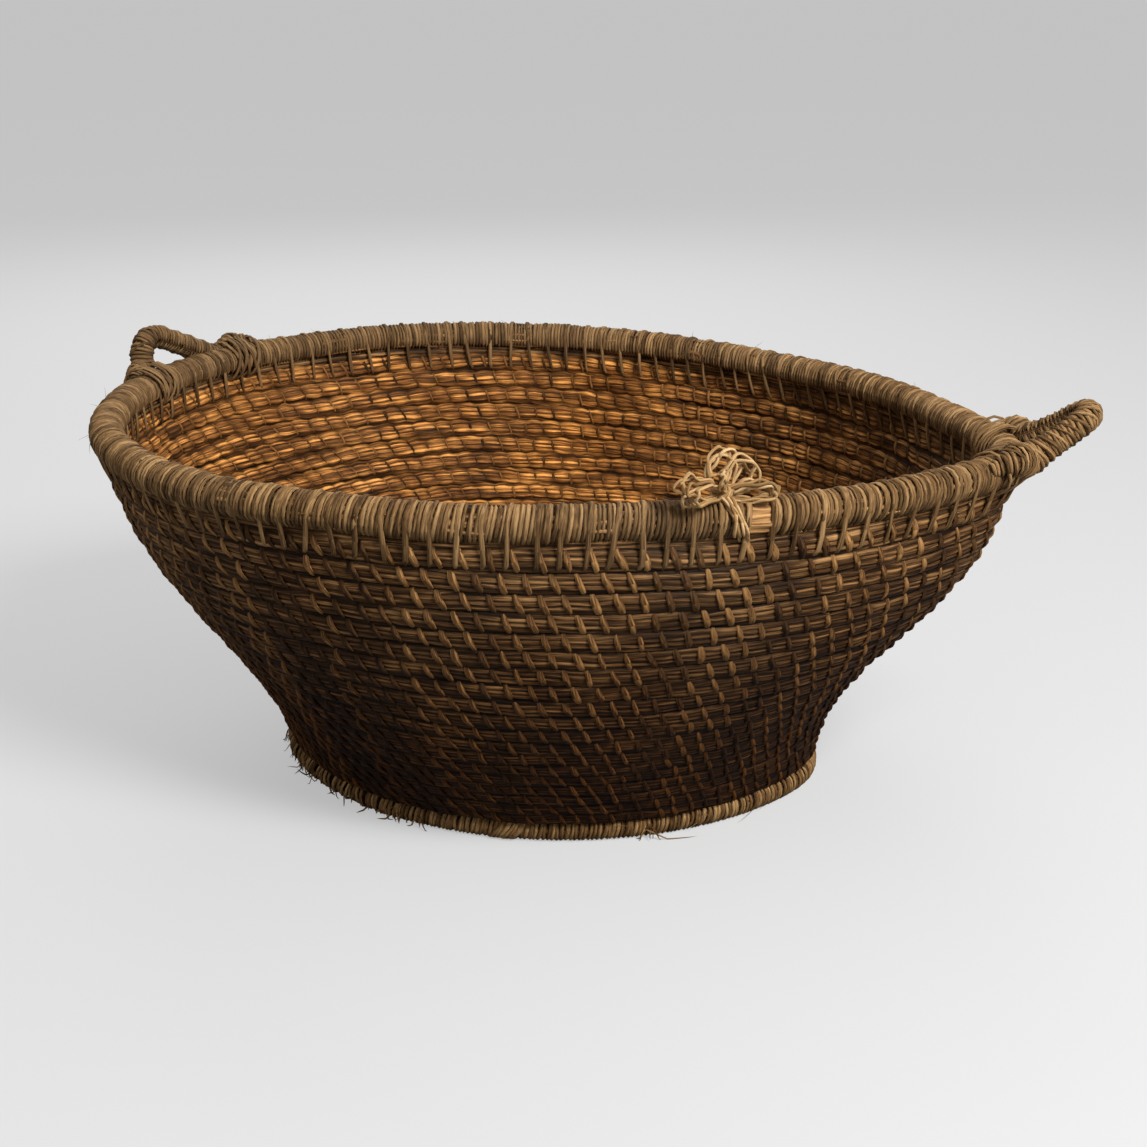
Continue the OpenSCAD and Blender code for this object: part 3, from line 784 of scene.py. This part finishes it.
def make_foot():
    track = LEVELS[0]
    core = FOOT_D / 2 - WRAP_DEPTH
    shape = bundle_shape(track, core + 0.4 * MM, upright, None, 78, 9)
    woven("foot_stems", 1, 27, 260, shape, "straw_bundle", ["foot_ring"])
    places = np.arange(0, track.length - FOOT_PITCH / 2, FOOT_PITCH)
    thick = sizes().wrap_t / 2
    for q, side, part in quarters(track, places):
        direction = np.mod(direction_at(0, part), 360)
        loose = smooth(LOOSE_FOOT[0], LOOSE_FOOT[0] + 14, direction)
        loose = loose * smooth(LOOSE_FOOT[1], LOOSE_FOOT[1] - 14, direction)
        make_wrapping(f"foot_strand_{side}", track, part, FOOT_D / 2, "foot_strand",
                      [f"foot_wrap_{side}"], lean=0.9, loose=1.3 * loose + 0.15, seed=50 + q, floor=thick,
                      pitch=FOOT_PITCH)
    knot = float(at_direction(0, FOOT_KNOT_DIR)) + np.linspace(-6, 6, 6) * MM
    make_wrapping("foot_knot", track, knot, FOOT_D / 2 + 1.3 * MM, "foot_strand", lean=5.5, seed=55,
                  floor=thick, width=1.3)


# ---- Base ----

def base_rings():
    """Rings of the base, each the first course's plan drawn in towards its middle."""
    reaches, z, radius = SIZES[1]
    low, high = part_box("base_coils")
    half = np.array([reaches[0] + reaches[1], reaches[2] + reaches[3]]) / 2
    count = round(half[1] / (2 * radius + BUNDLE_GAP) - 0.5)
    pitch = half[1] / (count + 0.5)
    middle = np.array([(low.x + high.x) / 2, (low.y + high.y) / 2, z])
    first = LEVELS[1]
    rings = []
    for j in range(1, count + 1):
        points = middle + (first.points - middle) * [*(1 - j * pitch / half), 0]
        rings.append(Track(points, first.out, first.up, closed=True))
    return rings, radius, middle


def make_base():
    rings, radius, middle = base_rings()
    longest = rings[0].length
    stems = 7

    def shape(k, u, v):
        places, tone, shade = np.empty((len(u), 3)), np.empty(len(u)), np.empty(len(u))
        for j, ring in enumerate(rings):
            one = k == j
            flat = bundle_shape(ring, radius + 0.8 * MM, upright, None, 300 + j, stems)
            made = flat(k[one], u[one], v[one])
            places[one], tone[one] = made[0], made[1][0]
            shade[one] = 0.3 + 0.7 * made[1][1]
        return places, (tone, shade, smooth(-1, 1, places[:, 2] - middle[2])), TURN * radius, longest

    woven("base_bundles", len(rings), 3 * stems, 120, shape, "straw_bundle",
          ["base_coils"])
    spots = []
    for j, ring in enumerate(rings):
        some = max(int(ring.length / BASE_STITCH_GAP), 3)
        spots += [(j, (n + (j % 2) / 2) * ring.length / some) for n in range(some)]
    ring_of, s_of = np.array(spots).T

    def route(k, v):
        angle = TURN * v
        middle_of, side, across = np.empty((len(v), 3)), np.empty((len(v), 3)), np.empty((len(v), 3))
        for j, ring in enumerate(rings):
            one = ring_of[k] == j
            s = s_of[k][one] + 1.6 * MM * np.cos(angle[one])
            middle_of[one], side[one], _ = ring.place(s, angle[one], radius + 0.5 * MM + 0 * s)
            across[one] = ring.ahead(s)
        return middle_of, side, across

    # Painted shade: the strands darken where they pass down between the rings
    strands("base_strands", len(spots), 5, 12, route,
            even(2.7 * MM, 1.2 * MM, TURN * radius),
            lambda k, v: (0.4 + 0.6 * np.abs(np.sin(TURN * v)), smooth(-0.1, 0.1, np.sin(TURN * v))),
            "stitch_strand", ["base_stitches"])


# ---- Handles ----

def leg_of(foot_y, bend_y, bend_z, r, side):
    """The angle and length of a leg from its foot to where it touches the bend."""
    d = math.hypot(bend_y - foot_y, bend_z)
    return math.atan2(bend_z, bend_y - foot_y) - side * math.asin(r / d), math.sqrt(d * d - r * r)


def handle_track(direction, span, rise, bend_r, bend_y, lean, out, tails):
    """A loop from a tail laid on the rim, up one leg, round the bend and down to the other tail."""
    rim = LEVELS[RIM]
    s0 = float(at_direction(RIM, direction))
    spot, outward = rim.read(rim.points, s0), rim.read(rim.out, s0)
    onward = np.cross([0, 0, 1], outward)
    chord = [rim.read(rim.points, s0 + y) for y in (-span / 2, span / 2)]
    inset = ((chord[0] + chord[1]) / 2 - spot) @ outward
    base = spot + outward * (inset + out)
    plane_up = outward * math.sin(lean) + np.array([0, 0, 1]) * math.cos(lean)
    bend_z = rise - bend_r
    flat = []
    for side in (1, -1):
        angle, length = leg_of(side * span / 2, bend_y, bend_z, bend_r, side)
        steps = np.linspace(9 * MM, length, 8, endpoint=False)
        leg = [(side * span / 2 + t * math.cos(angle), t * math.sin(angle)) for t in steps]
        flat.append((angle, leg))
    start, end = flat[0][0] - math.pi / 2, flat[1][0] + math.pi / 2
    bend = [(bend_y + bend_r * math.cos(a), bend_z + bend_r * math.sin(a))
            for a in np.linspace(start, end, 24)]
    points = [base + onward * y + plane_up * z for y, z in flat[0][1] + bend + flat[1][1][::-1]]
    tail = []
    for side, reach in ((1, tails[1]), (-1, tails[0])):
        s = s0 + side * (span / 2 + np.linspace(0.0, 1, 5)[1:] * reach)
        radius = np.linspace(RADIUS[RIM] + 4.5 * MM, RADIUS[RIM] - 3 * MM, 4)
        tail.append(rim.place(s, np.radians(38) + 0 * s, radius)[0])
    points = np.vstack([tail[0][::-1], points, tail[1]])
    even = np.linspace(0, 1, 160)
    walked = np.concatenate([[0], np.cumsum(np.linalg.norm(np.diff(points, axis=0), axis=1))])
    points = np.column_stack([np.interp(even * walked[-1], walked, points[:, a]) for a in range(3)])
    for _ in range(24):
        points[1:-1] = (points[:-2] + 2 * points[1:-1] + points[2:]) / 4
    ahead = unit(np.gradient(points, axis=0))
    facing = np.cross(onward, plane_up)
    side_way = unit(np.cross(ahead, facing))
    return Track(points, unit(np.cross(side_way, ahead)), side_way)


HANDLES = {
    "left": dict(direction=179.4, span=84 * MM, rise=30 * MM, bend_r=17 * MM, bend_y=22 * MM,
                 lean=math.radians(20), out=7 * MM, tails=(30 * MM, 16 * MM)),
    "right": dict(direction=6, span=48 * MM, rise=50 * MM, bend_r=13 * MM, bend_y=0.0,
                  lean=math.radians(54), out=7 * MM, tails=(22 * MM, 22 * MM)),
}
HANDLE_SWELL = {"left": 0.08, "right": 0.3}                 # how much thicker a leg is at its foot
HANDLE_CROSSING = {"left": 12 * MM, "right": 4.6 * MM}      # between the crossing strands


def make_handle(end):
    """A loop's core, its wrapping, and crossed lashings over each of its feet and the rim."""
    facts = HANDLES[end]
    track = handle_track(**facts)
    full = sizes().handle_d / 2
    rim = LEVELS[RIM]

    def thickness(s):
        near_end = np.minimum(s, track.length - s)
        foot = smooth(8 * MM, 24 * MM, near_end) * (1 - smooth(30 * MM, 52 * MM, near_end))
        return full * (mix(0.55, 1.0, smooth(0, 16 * MM, near_end)) + HANDLE_SWELL[end] * foot)

    def core(k, u, v):
        s = v * track.length
        closing = smooth(0, 0.012, v) * smooth(0, 0.012, 1 - v)
        angle = TURN * u
        radius = (thickness(s) - WRAP_DEPTH + 0.3 * MM * np.cos(8 * angle)) * closing
        places, _, _ = track.place(s, angle, radius)
        return places, (0.5, 0.4, 0), TURN * full, track.length

    woven(f"handle_{end}_stems", 1, 24, 90, core, "straw_bundle",
          [f"handle_{end}_core"])
    pitch = sizes().wrap_pitch
    places = np.arange(pitch, track.length - pitch, pitch)
    make_wrapping(f"handle_{end}_strand", track, places, thickness, "wrap_strand",
                  [f"handle_{end}_wrap"], lean=1.6, seed=70 + len(end))
    crossed = np.arange(12 * MM, track.length - 12 * MM, HANDLE_CROSSING[end])
    make_wrapping(f"handle_{end}_crossing_strand", track, crossed, lambda s: thickness(s) + 0.7 * MM,
                  "wrap_strand", lean=-3.6, seed=80 + len(end), width=0.85)
    s0 = float(at_direction(RIM, facts["direction"]))
    rng = np.random.default_rng(len(end))
    feet = np.array([s0 + side * (facts["span"] / 2 + (k - 2.0) * 3.1 * MM)
                     for side in (-1, 1) for k in range(7)])
    slope = np.where(np.arange(len(feet)) % 2, 1, -1) * rng.uniform(1.5, 5.5, len(feet)) * MM
    swell = rng.uniform(0.8, 2.4, len(feet)) * MM

    def route(k, v):
        angle = TURN * v
        s = feet[k] + slope[k] * np.sin(angle)
        radius = RADIUS[RIM] + swell[k] + 2.6 * MM * smooth(0.2, 0.9, np.cos(angle - 0.6))
        middle, side_way, round_way = rim.place(s, angle, radius)
        return middle, side_way, across_of(rim, s, round_way, slope[k] * np.cos(angle) / radius)

    strands(f"handle_{end}_lashings", len(feet), 5, 18, route,
            even(2.6 * MM, 1.6 * MM, 80 * MM), even(0.9, 0), "wrap_strand", [f"handle_{end}_lashing"])


# ---- Tie ----

def tie_frame():
    rim = LEVELS[RIM]
    s0 = float(at_direction(RIM, TIE_DIR))
    spot, out = rim.read(rim.points, s0), rim.read(rim.out, s0)
    return s0, spot + [0, 0, RADIUS[RIM] + 3.2 * MM], out, np.cross([0, 0, 1], out)


# Each loop: angle up from the rim at the narrow end's side, turn, length, strands and plumpness
TIE_LOOPS = ((168, 30, 30 * MM, 5, 0.15), (98, 14, 21 * MM, 4, 0.34), (32, 8, 20 * MM, 3, 0.4),
             (8, -20, 27 * MM, 4, 0.14), (128, 60, 13 * MM, 3, 0.3))


def make_tie():
    s0, top, out, onward = tie_frame()
    rng = np.random.default_rng(3)
    rows = [(angle, turn, size, wide) for angle, turn, size, many, wide in TIE_LOOPS for _ in range(many)]
    count = len(rows)
    lift = np.radians([row[0] for row in rows]) + rng.normal(0, 0.09, count)
    spin = np.radians([row[1] for row in rows]) + rng.normal(0, 0.14, count)
    size_of = np.array([row[2] for row in rows]) * rng.uniform(0.86, 1.1, count)
    plump = np.array([row[3] for row in rows]) * rng.uniform(0.85, 1.15, count)
    slip = rng.normal(0, 0.9, (count, 3)) * MM
    wobble = [Waves(12 + axis, count, 1, 6, 5) for axis in range(3)]
    local = np.stack([out, onward, [0, 0, 1]])

    def at_turn(k, v):
        t = TURN * v
        length = size_of[k]
        y = plump[k] * length * np.sin(t) * (1.05 - 0.2 * np.cos(t))
        z = length * (1 - np.cos(t)) / 2 + 1.2 * MM
        x, y, z = (row + 1.7 * MM * wave(k, v) * np.sin(np.pi * v) for row, wave in zip((0, y, z), wobble))
        tip = lift[k] - math.pi / 2
        y, z = y * np.cos(tip) - z * np.sin(tip), y * np.sin(tip) + z * np.cos(tip)
        x, y = x * np.cos(spin[k]) - y * np.sin(spin[k]), x * np.sin(spin[k]) + y * np.cos(spin[k])
        return top + np.stack([x, y, z], -1) @ local + slip[k]

    def along_route(place):
        def route(k, v):
            ahead = unit(place(k, v + 0.01) - place(k, v - 0.01))
            side = unit(np.cross(ahead, out + 0.3 * onward))
            return place(k, v), side, np.cross(side, ahead)
        return route

    thin = sizes().tie_d
    bright = even(1, 0)
    strands("tie_loop_strands", count, 5, 36, along_route(at_turn),
            lambda k, v: (thin * (1.25 + 0.3 * np.sin(17 * v + k)), thin * 0.85 + 0 * v, 60 * MM), bright,
            "pale_bast", ["tie_loops"])
    # The knot: short turns round the root of the loops
    turns = 9
    knot = Track(top + np.outer(np.linspace(-4.5, 4.5, 20) * MM, onward) + [0, 0, -0.6 * MM],
                 np.tile(out, (20, 1)), np.tile([0.0, 0, 1], (20, 1)))
    make_wrapping("tie_knot", knot, np.linspace(1, 8, turns) * MM, 4.6 * MM, "pale_bast",
                  lean=3.2, seed=8, pitch=1.5 * MM, width=0.85, loose=np.full(turns, 0.5))
    # The band: strands that cross on their way from the knot down over the rim
    rim = LEVELS[RIM]
    many = 10
    fan = np.linspace(-1, 1, many)
    cross = rng.permutation(fan)
    drop = rng.uniform(0.75, 1.0, many)

    def down(k, v):
        angle = mix(np.pi / 2 + 0.25, -1.15, v * drop[k])
        s = s0 + 3.6 * MM * mix(fan[k], cross[k], smooth(0.1, 0.9, v)) + 8.0 * MM * v
        radius = RADIUS[RIM] + 1.6 * MM + 1.1 * MM * np.sin(8 * v + 1.7 * k)
        return rim.place(s, angle, radius)[0]

    strands("tie_band_strands", many, 5, 16, along_route(down),
            even(2.4 * MM, 1.6 * MM, 50 * MM), bright,
            "pale_bast", ["tie_band"], taper=0.08)


# ---- Loose stems and fibres ----

def fibres(name, roots, ways, lengths, width, slot, droop, seed):
    """Fine tapering fibres, each from a root along its own way, bending as it goes."""
    rng = np.random.default_rng(seed)
    count = len(roots)
    bend = rng.normal(0, 0.45, (count, 3))
    bend[:, 2] -= droop

    def place(k, v):
        t = (v * lengths[k])[:, None]
        places = roots[k] + ways[k] * t + bend[k] * t * v[:, None]
        places[:, 2] = np.maximum(places[:, 2], 0.5 * MM)
        return places

    def route(k, v):
        ahead = unit(place(k, v + 0.02) - place(k, v - 0.02))
        side = unit(np.cross(ahead, ways[k][:, [1, 2, 0]] + 0.01))
        return place(k, v), side, np.cross(side, ahead)

    def size(k, v):
        thin = width[k] * np.sqrt(np.clip(1 - v, 0, 1)) * smooth(-0.05, 0.05, v)
        return thin, thin, lengths[k]

    strands(name, count, 3, 6, route, size, even(0.9, 0), slot)


def loose_on(track, name, count, radius, reach, width, slot, seed, directions=None, level=None,
             droop=0.3, upward=0.2, high=0.9):
    """Fibres that have sprung from the wrapping of a track."""
    rng = np.random.default_rng(seed)
    s = rng.uniform(0, track.length, count)
    if directions:
        s = at_direction(level, rng.uniform(*directions, count))
    angle = rng.uniform(-0.5, high * np.pi, count)
    roots, side, round_way = track.place(s, angle, radius + 0 * s)
    along = track.ahead(s) * rng.choice([-1, 1], count)[:, None]
    ways = unit(side * rng.uniform(0.15, 0.8, (count, 1)) + along * rng.uniform(0.3, 1.2, (count, 1))
                + round_way * rng.normal(0, 0.5, (count, 1)) + [0, 0, upward])
    lengths = rng.gamma(2.0, reach / 2, count)
    lengths = np.minimum(lengths, 3 * reach)
    fibres(name, roots, ways, lengths, rng.uniform(0.6, 1.2, count) * width, slot, droop, seed)


def make_gap_stems():
    """Short stems that have slipped out between the courses."""
    rng = np.random.default_rng(17)
    count = 420
    level = rng.integers(3, COURSES + 1, count)
    begin = rng.uniform(0, 1, count)
    reach = rng.uniform(12, 55, count) * MM
    band = np.where(rng.random(count) < 0.7, rng.uniform(0.9, 1.35, count), rng.uniform(1.8, 2.3, count))
    band = band * np.where(rng.random(count) < 0.7, 1, -1)
    creep = rng.normal(0, 0.16, count)
    fat = rng.uniform(0.9, 1.7, count) * MM

    def route(k, v):
        middle, side, across = (np.empty((len(v), 3)) for _ in range(3))
        for i in range(3, COURSES + 1):
            one = level[k] == i
            row, part = k[one], v[one]
            s = begin[row] * LEVELS[i].length + reach[row] * part
            angle = band[row] + creep[row] * (part - 0.5) * 3 - tilt_at(i, s)
            spot, out, way = LEVELS[i].place(s, angle, RADIUS[i] + 0.25 * MM + 0 * s)
            middle[one], side[one], across[one] = spot, out, way
        return middle, side, across

    strands("gap_stems", count, 4, 9, route, lambda k, v: (fat[k], 0.8 * fat[k], reach[k]),
            lambda k, v: (0.6 + 0 * v, smooth(1.5, 1.6, np.abs(band[k]))), "straw_bundle",
            taper=0.08)


def make_frays():
    many = sizes().frays
    rim, foot = LEVELS[RIM], LEVELS[0]
    loose_on(rim, "rim_frays", many // 2, RADIUS[RIM] + 0.2 * MM, 4 * MM, 0.3 * MM, "wrap_strand", 61)
    loose_on(foot, "foot_frays", many // 4, FOOT_D / 2, 4 * MM, 0.5 * MM, "foot_strand", 62,
             high=0.3, droop=0.5)
    loose_on(foot, "foot_tufts", 80, FOOT_D / 2, 5 * MM, 1.5 * MM, "foot_strand", 63,
             directions=LOOSE_FOOT, level=0, droop=1.9, high=0.12, upward=-0.5)
    loose_on(foot, "foot_tuft_right", 7, FOOT_D / 2, 7 * MM, 1.5 * MM, "foot_strand", 64,
             directions=FOOT_TUFT, level=0, droop=1.2, high=0.1, upward=-0.3)


# ---- Stage ----

CAMERA_TURN = math.radians(26)
CAMERA_RISE = math.radians(19.26)
CAMERA_REACH = 1.2008
CAMERA_TARGET = Vector((14.7 * MM + AXIS[0], 7.2 * MM + AXIS[1], 110.8 * MM))
LENS, SENSOR = 58.69225, 36              # in millimetres
FLOOR_R = 40                             # in metres
FLOOR_GREY, FLOOR_GLOW = 0.28, 0.42      # colour, and light added where the camera sees it
ROOM_LIGHT, ROOM_GLOW = 0.36, 0.17       # soft light, and light added where the camera sees it
LAMP_AIM = Vector((0, 0, 0.1))
# Each lamp: its name, place, size and power
LAMPS = (("key", (1.25, -0.6, 1.4), 0.6, 42), ("fill", (-0.9, -1.2, 0.8), 1.6, 2.5),
         ("back", (-0.9, 1.3, 1.2), 1.2, 12))


def make_stage():
    """The camera, a pale floor, a soft room and three lamps, the strongest at the right."""
    scene = bpy.context.scene
    back = Vector((math.sin(CAMERA_TURN) * math.cos(CAMERA_RISE),
                   -math.cos(CAMERA_TURN) * math.cos(CAMERA_RISE), math.sin(CAMERA_RISE)))
    camera = bpy.data.objects.new("camera", bpy.data.cameras.new("camera"))
    camera.data.lens = LENS
    camera.data.sensor_width = SENSOR
    camera.location = CAMERA_TARGET + back * CAMERA_REACH
    camera.rotation_euler = (-back).to_track_quat("-Z", "Y").to_euler()
    scene.collection.objects.link(camera)
    scene.camera = camera
    bm = bmesh.new()
    bmesh.ops.create_circle(bm, cap_ends=True, radius=FLOOR_R, segments=64)
    mesh = bpy.data.meshes.new("floor")
    bm.to_mesh(mesh)
    bm.free()
    floor = bpy.data.objects.new("floor", mesh)
    scene.collection.objects.link(floor)
    paper = bpy.data.materials.new("floor_paper")
    paper.use_nodes = True
    shader = paper.node_tree.nodes["Principled BSDF"]
    shader.inputs["Base Color"].default_value = (FLOOR_GREY, FLOOR_GREY, FLOOR_GREY, 1)
    shader.inputs["Roughness"].default_value = 0.9
    tree = paper.node_tree
    seen = maths(tree, "MULTIPLY", node(tree, "ShaderNodeLightPath").outputs["Is Camera Ray"],
                 FLOOR_GLOW)
    shader.inputs["Emission Color"].default_value = (1, 1, 1, 1)
    tree.links.new(seen, shader.inputs["Emission Strength"])
    mesh.materials.append(paper)
    world = bpy.data.worlds.new("soft_room")
    scene.world = world
    world.use_nodes = True
    room = world.node_tree
    room.nodes["Background"].inputs["Color"].default_value = (1.0, 1.0, 1.0, 1)
    seen = maths(room, "MULTIPLY", node(room, "ShaderNodeLightPath").outputs["Is Camera Ray"],
                 ROOM_GLOW)
    room.links.new(maths(room, "ADD", seen, ROOM_LIGHT), room.nodes["Background"].inputs["Strength"])
    for name, place, size, power in LAMPS:
        light = bpy.data.lights.new(name, "AREA")
        light.size = size
        light.energy = power
        lamp = bpy.data.objects.new(name, light)
        lamp.location = place
        lamp.rotation_euler = (LAMP_AIM - Vector(place)).to_track_quat("-Z", "Y").to_euler()
        scene.collection.objects.link(lamp)
    scene.view_settings.view_transform = "Standard"


# ---- Operators, panel and registration ----

class BASKET_OT_stage(bpy.types.Operator):
    """Make the camera, the floor and the lights"""
    bl_idname = "basket.stage"
    bl_label = "Stage"

    def execute(self, context):
        make_stage()
        return {"FINISHED"}


class BASKET_OT_materials(bpy.types.Operator):
    """Make the fibre materials from the chosen colours"""
    bl_idname = "basket.materials"
    bl_label = "Materials"

    def execute(self, context):
        grain_group()
        age_and_shading_group()
        for name, kind, *finish in FIBRES:
            fibre_material(name, colour_stops(kind), *finish)
        return {"FINISHED"}


class BASKET_OT_courses(bpy.types.Operator):
    """Make the bundle of stems of each course"""
    bl_idname = "basket.courses"
    bl_label = "Courses"

    def execute(self, context):
        for i in range(1, RIM):
            make_course(i)
        return {"FINISHED"}


class BASKET_OT_stitches(bpy.types.Operator):
    """Make the stitches of each course"""
    bl_idname = "basket.stitches"
    bl_label = "Stitches"

    def execute(self, context):
        for i in range(1, RIM):
            make_stitch_row(i)
        return {"FINISHED"}


class BASKET_OT_base(bpy.types.Operator):
    """Make the coiled base and its stitches"""
    bl_idname = "basket.base"
    bl_label = "Base"

    def execute(self, context):
        make_base()
        return {"FINISHED"}


class BASKET_OT_foot(bpy.types.Operator):
    """Make the foot ring and its wrapping"""
    bl_idname = "basket.foot"
    bl_label = "Foot ring"

    def execute(self, context):
        make_foot()
        return {"FINISHED"}


class BASKET_OT_rim(bpy.types.Operator):
    """Make the rim, its wrapping and its joining strands"""
    bl_idname = "basket.rim"
    bl_label = "Rim"

    def execute(self, context):
        make_rim()
        make_bedding()
        make_rim_stitches()
        return {"FINISHED"}


class BASKET_OT_handles(bpy.types.Operator):
    """Make both loop handles with their lashings"""
    bl_idname = "basket.handles"
    bl_label = "Handles"

    def execute(self, context):
        for end in HANDLES:
            make_handle(end)
        return {"FINISHED"}


class BASKET_OT_tie(bpy.types.Operator):
    """Make the knotted tie on the rim"""
    bl_idname = "basket.tie"
    bl_label = "Tie"

    def execute(self, context):
        make_tie()
        return {"FINISHED"}


class BASKET_OT_frays(bpy.types.Operator):
    """Make the loose stems and fibres"""
    bl_idname = "basket.frays"
    bl_label = "Loose fibres"

    def execute(self, context):
        make_gap_stems()
        make_frays()
        return {"FINISHED"}


STEPS = ("stage", "materials", "courses", "stitches", "base", "foot", "rim", "handles", "tie", "frays")


class BASKET_PT_panel(bpy.types.Panel):
    """The basket's sizes, colours and pieces"""
    bl_idname = "BASKET_PT_panel"
    bl_label = "Winnowing basket"
    bl_space_type = "VIEW_3D"
    bl_region_type = "UI"
    bl_category = "Basket"

    def draw(self, context):
        for chosen in (context.scene.basket_sizes, context.scene.basket_colours):
            for key in chosen.bl_rna.properties.keys():
                if key not in ("rna_type", "name"):
                    self.layout.prop(chosen, key)
        for step in STEPS:
            self.layout.operator(f"basket.{step}")


CLASSES = (BasketSizes, BasketColours, BASKET_OT_stage, BASKET_OT_materials, BASKET_OT_courses,
           BASKET_OT_stitches, BASKET_OT_base, BASKET_OT_foot, BASKET_OT_rim, BASKET_OT_handles,
           BASKET_OT_tie, BASKET_OT_frays, BASKET_PT_panel)


def register():
    for made in CLASSES:
        bpy.utils.register_class(made)
    bpy.types.Scene.basket_sizes = bpy.props.PointerProperty(type=BasketSizes)
    bpy.types.Scene.basket_colours = bpy.props.PointerProperty(type=BasketColours)


def unregister():
    del bpy.types.Scene.basket_sizes
    del bpy.types.Scene.basket_colours
    for made in reversed(CLASSES):
        bpy.utils.unregister_class(made)


def main():
    register()
    for step in STEPS:
        getattr(bpy.ops.basket, step)()


if __name__ == "__main__":
    main()
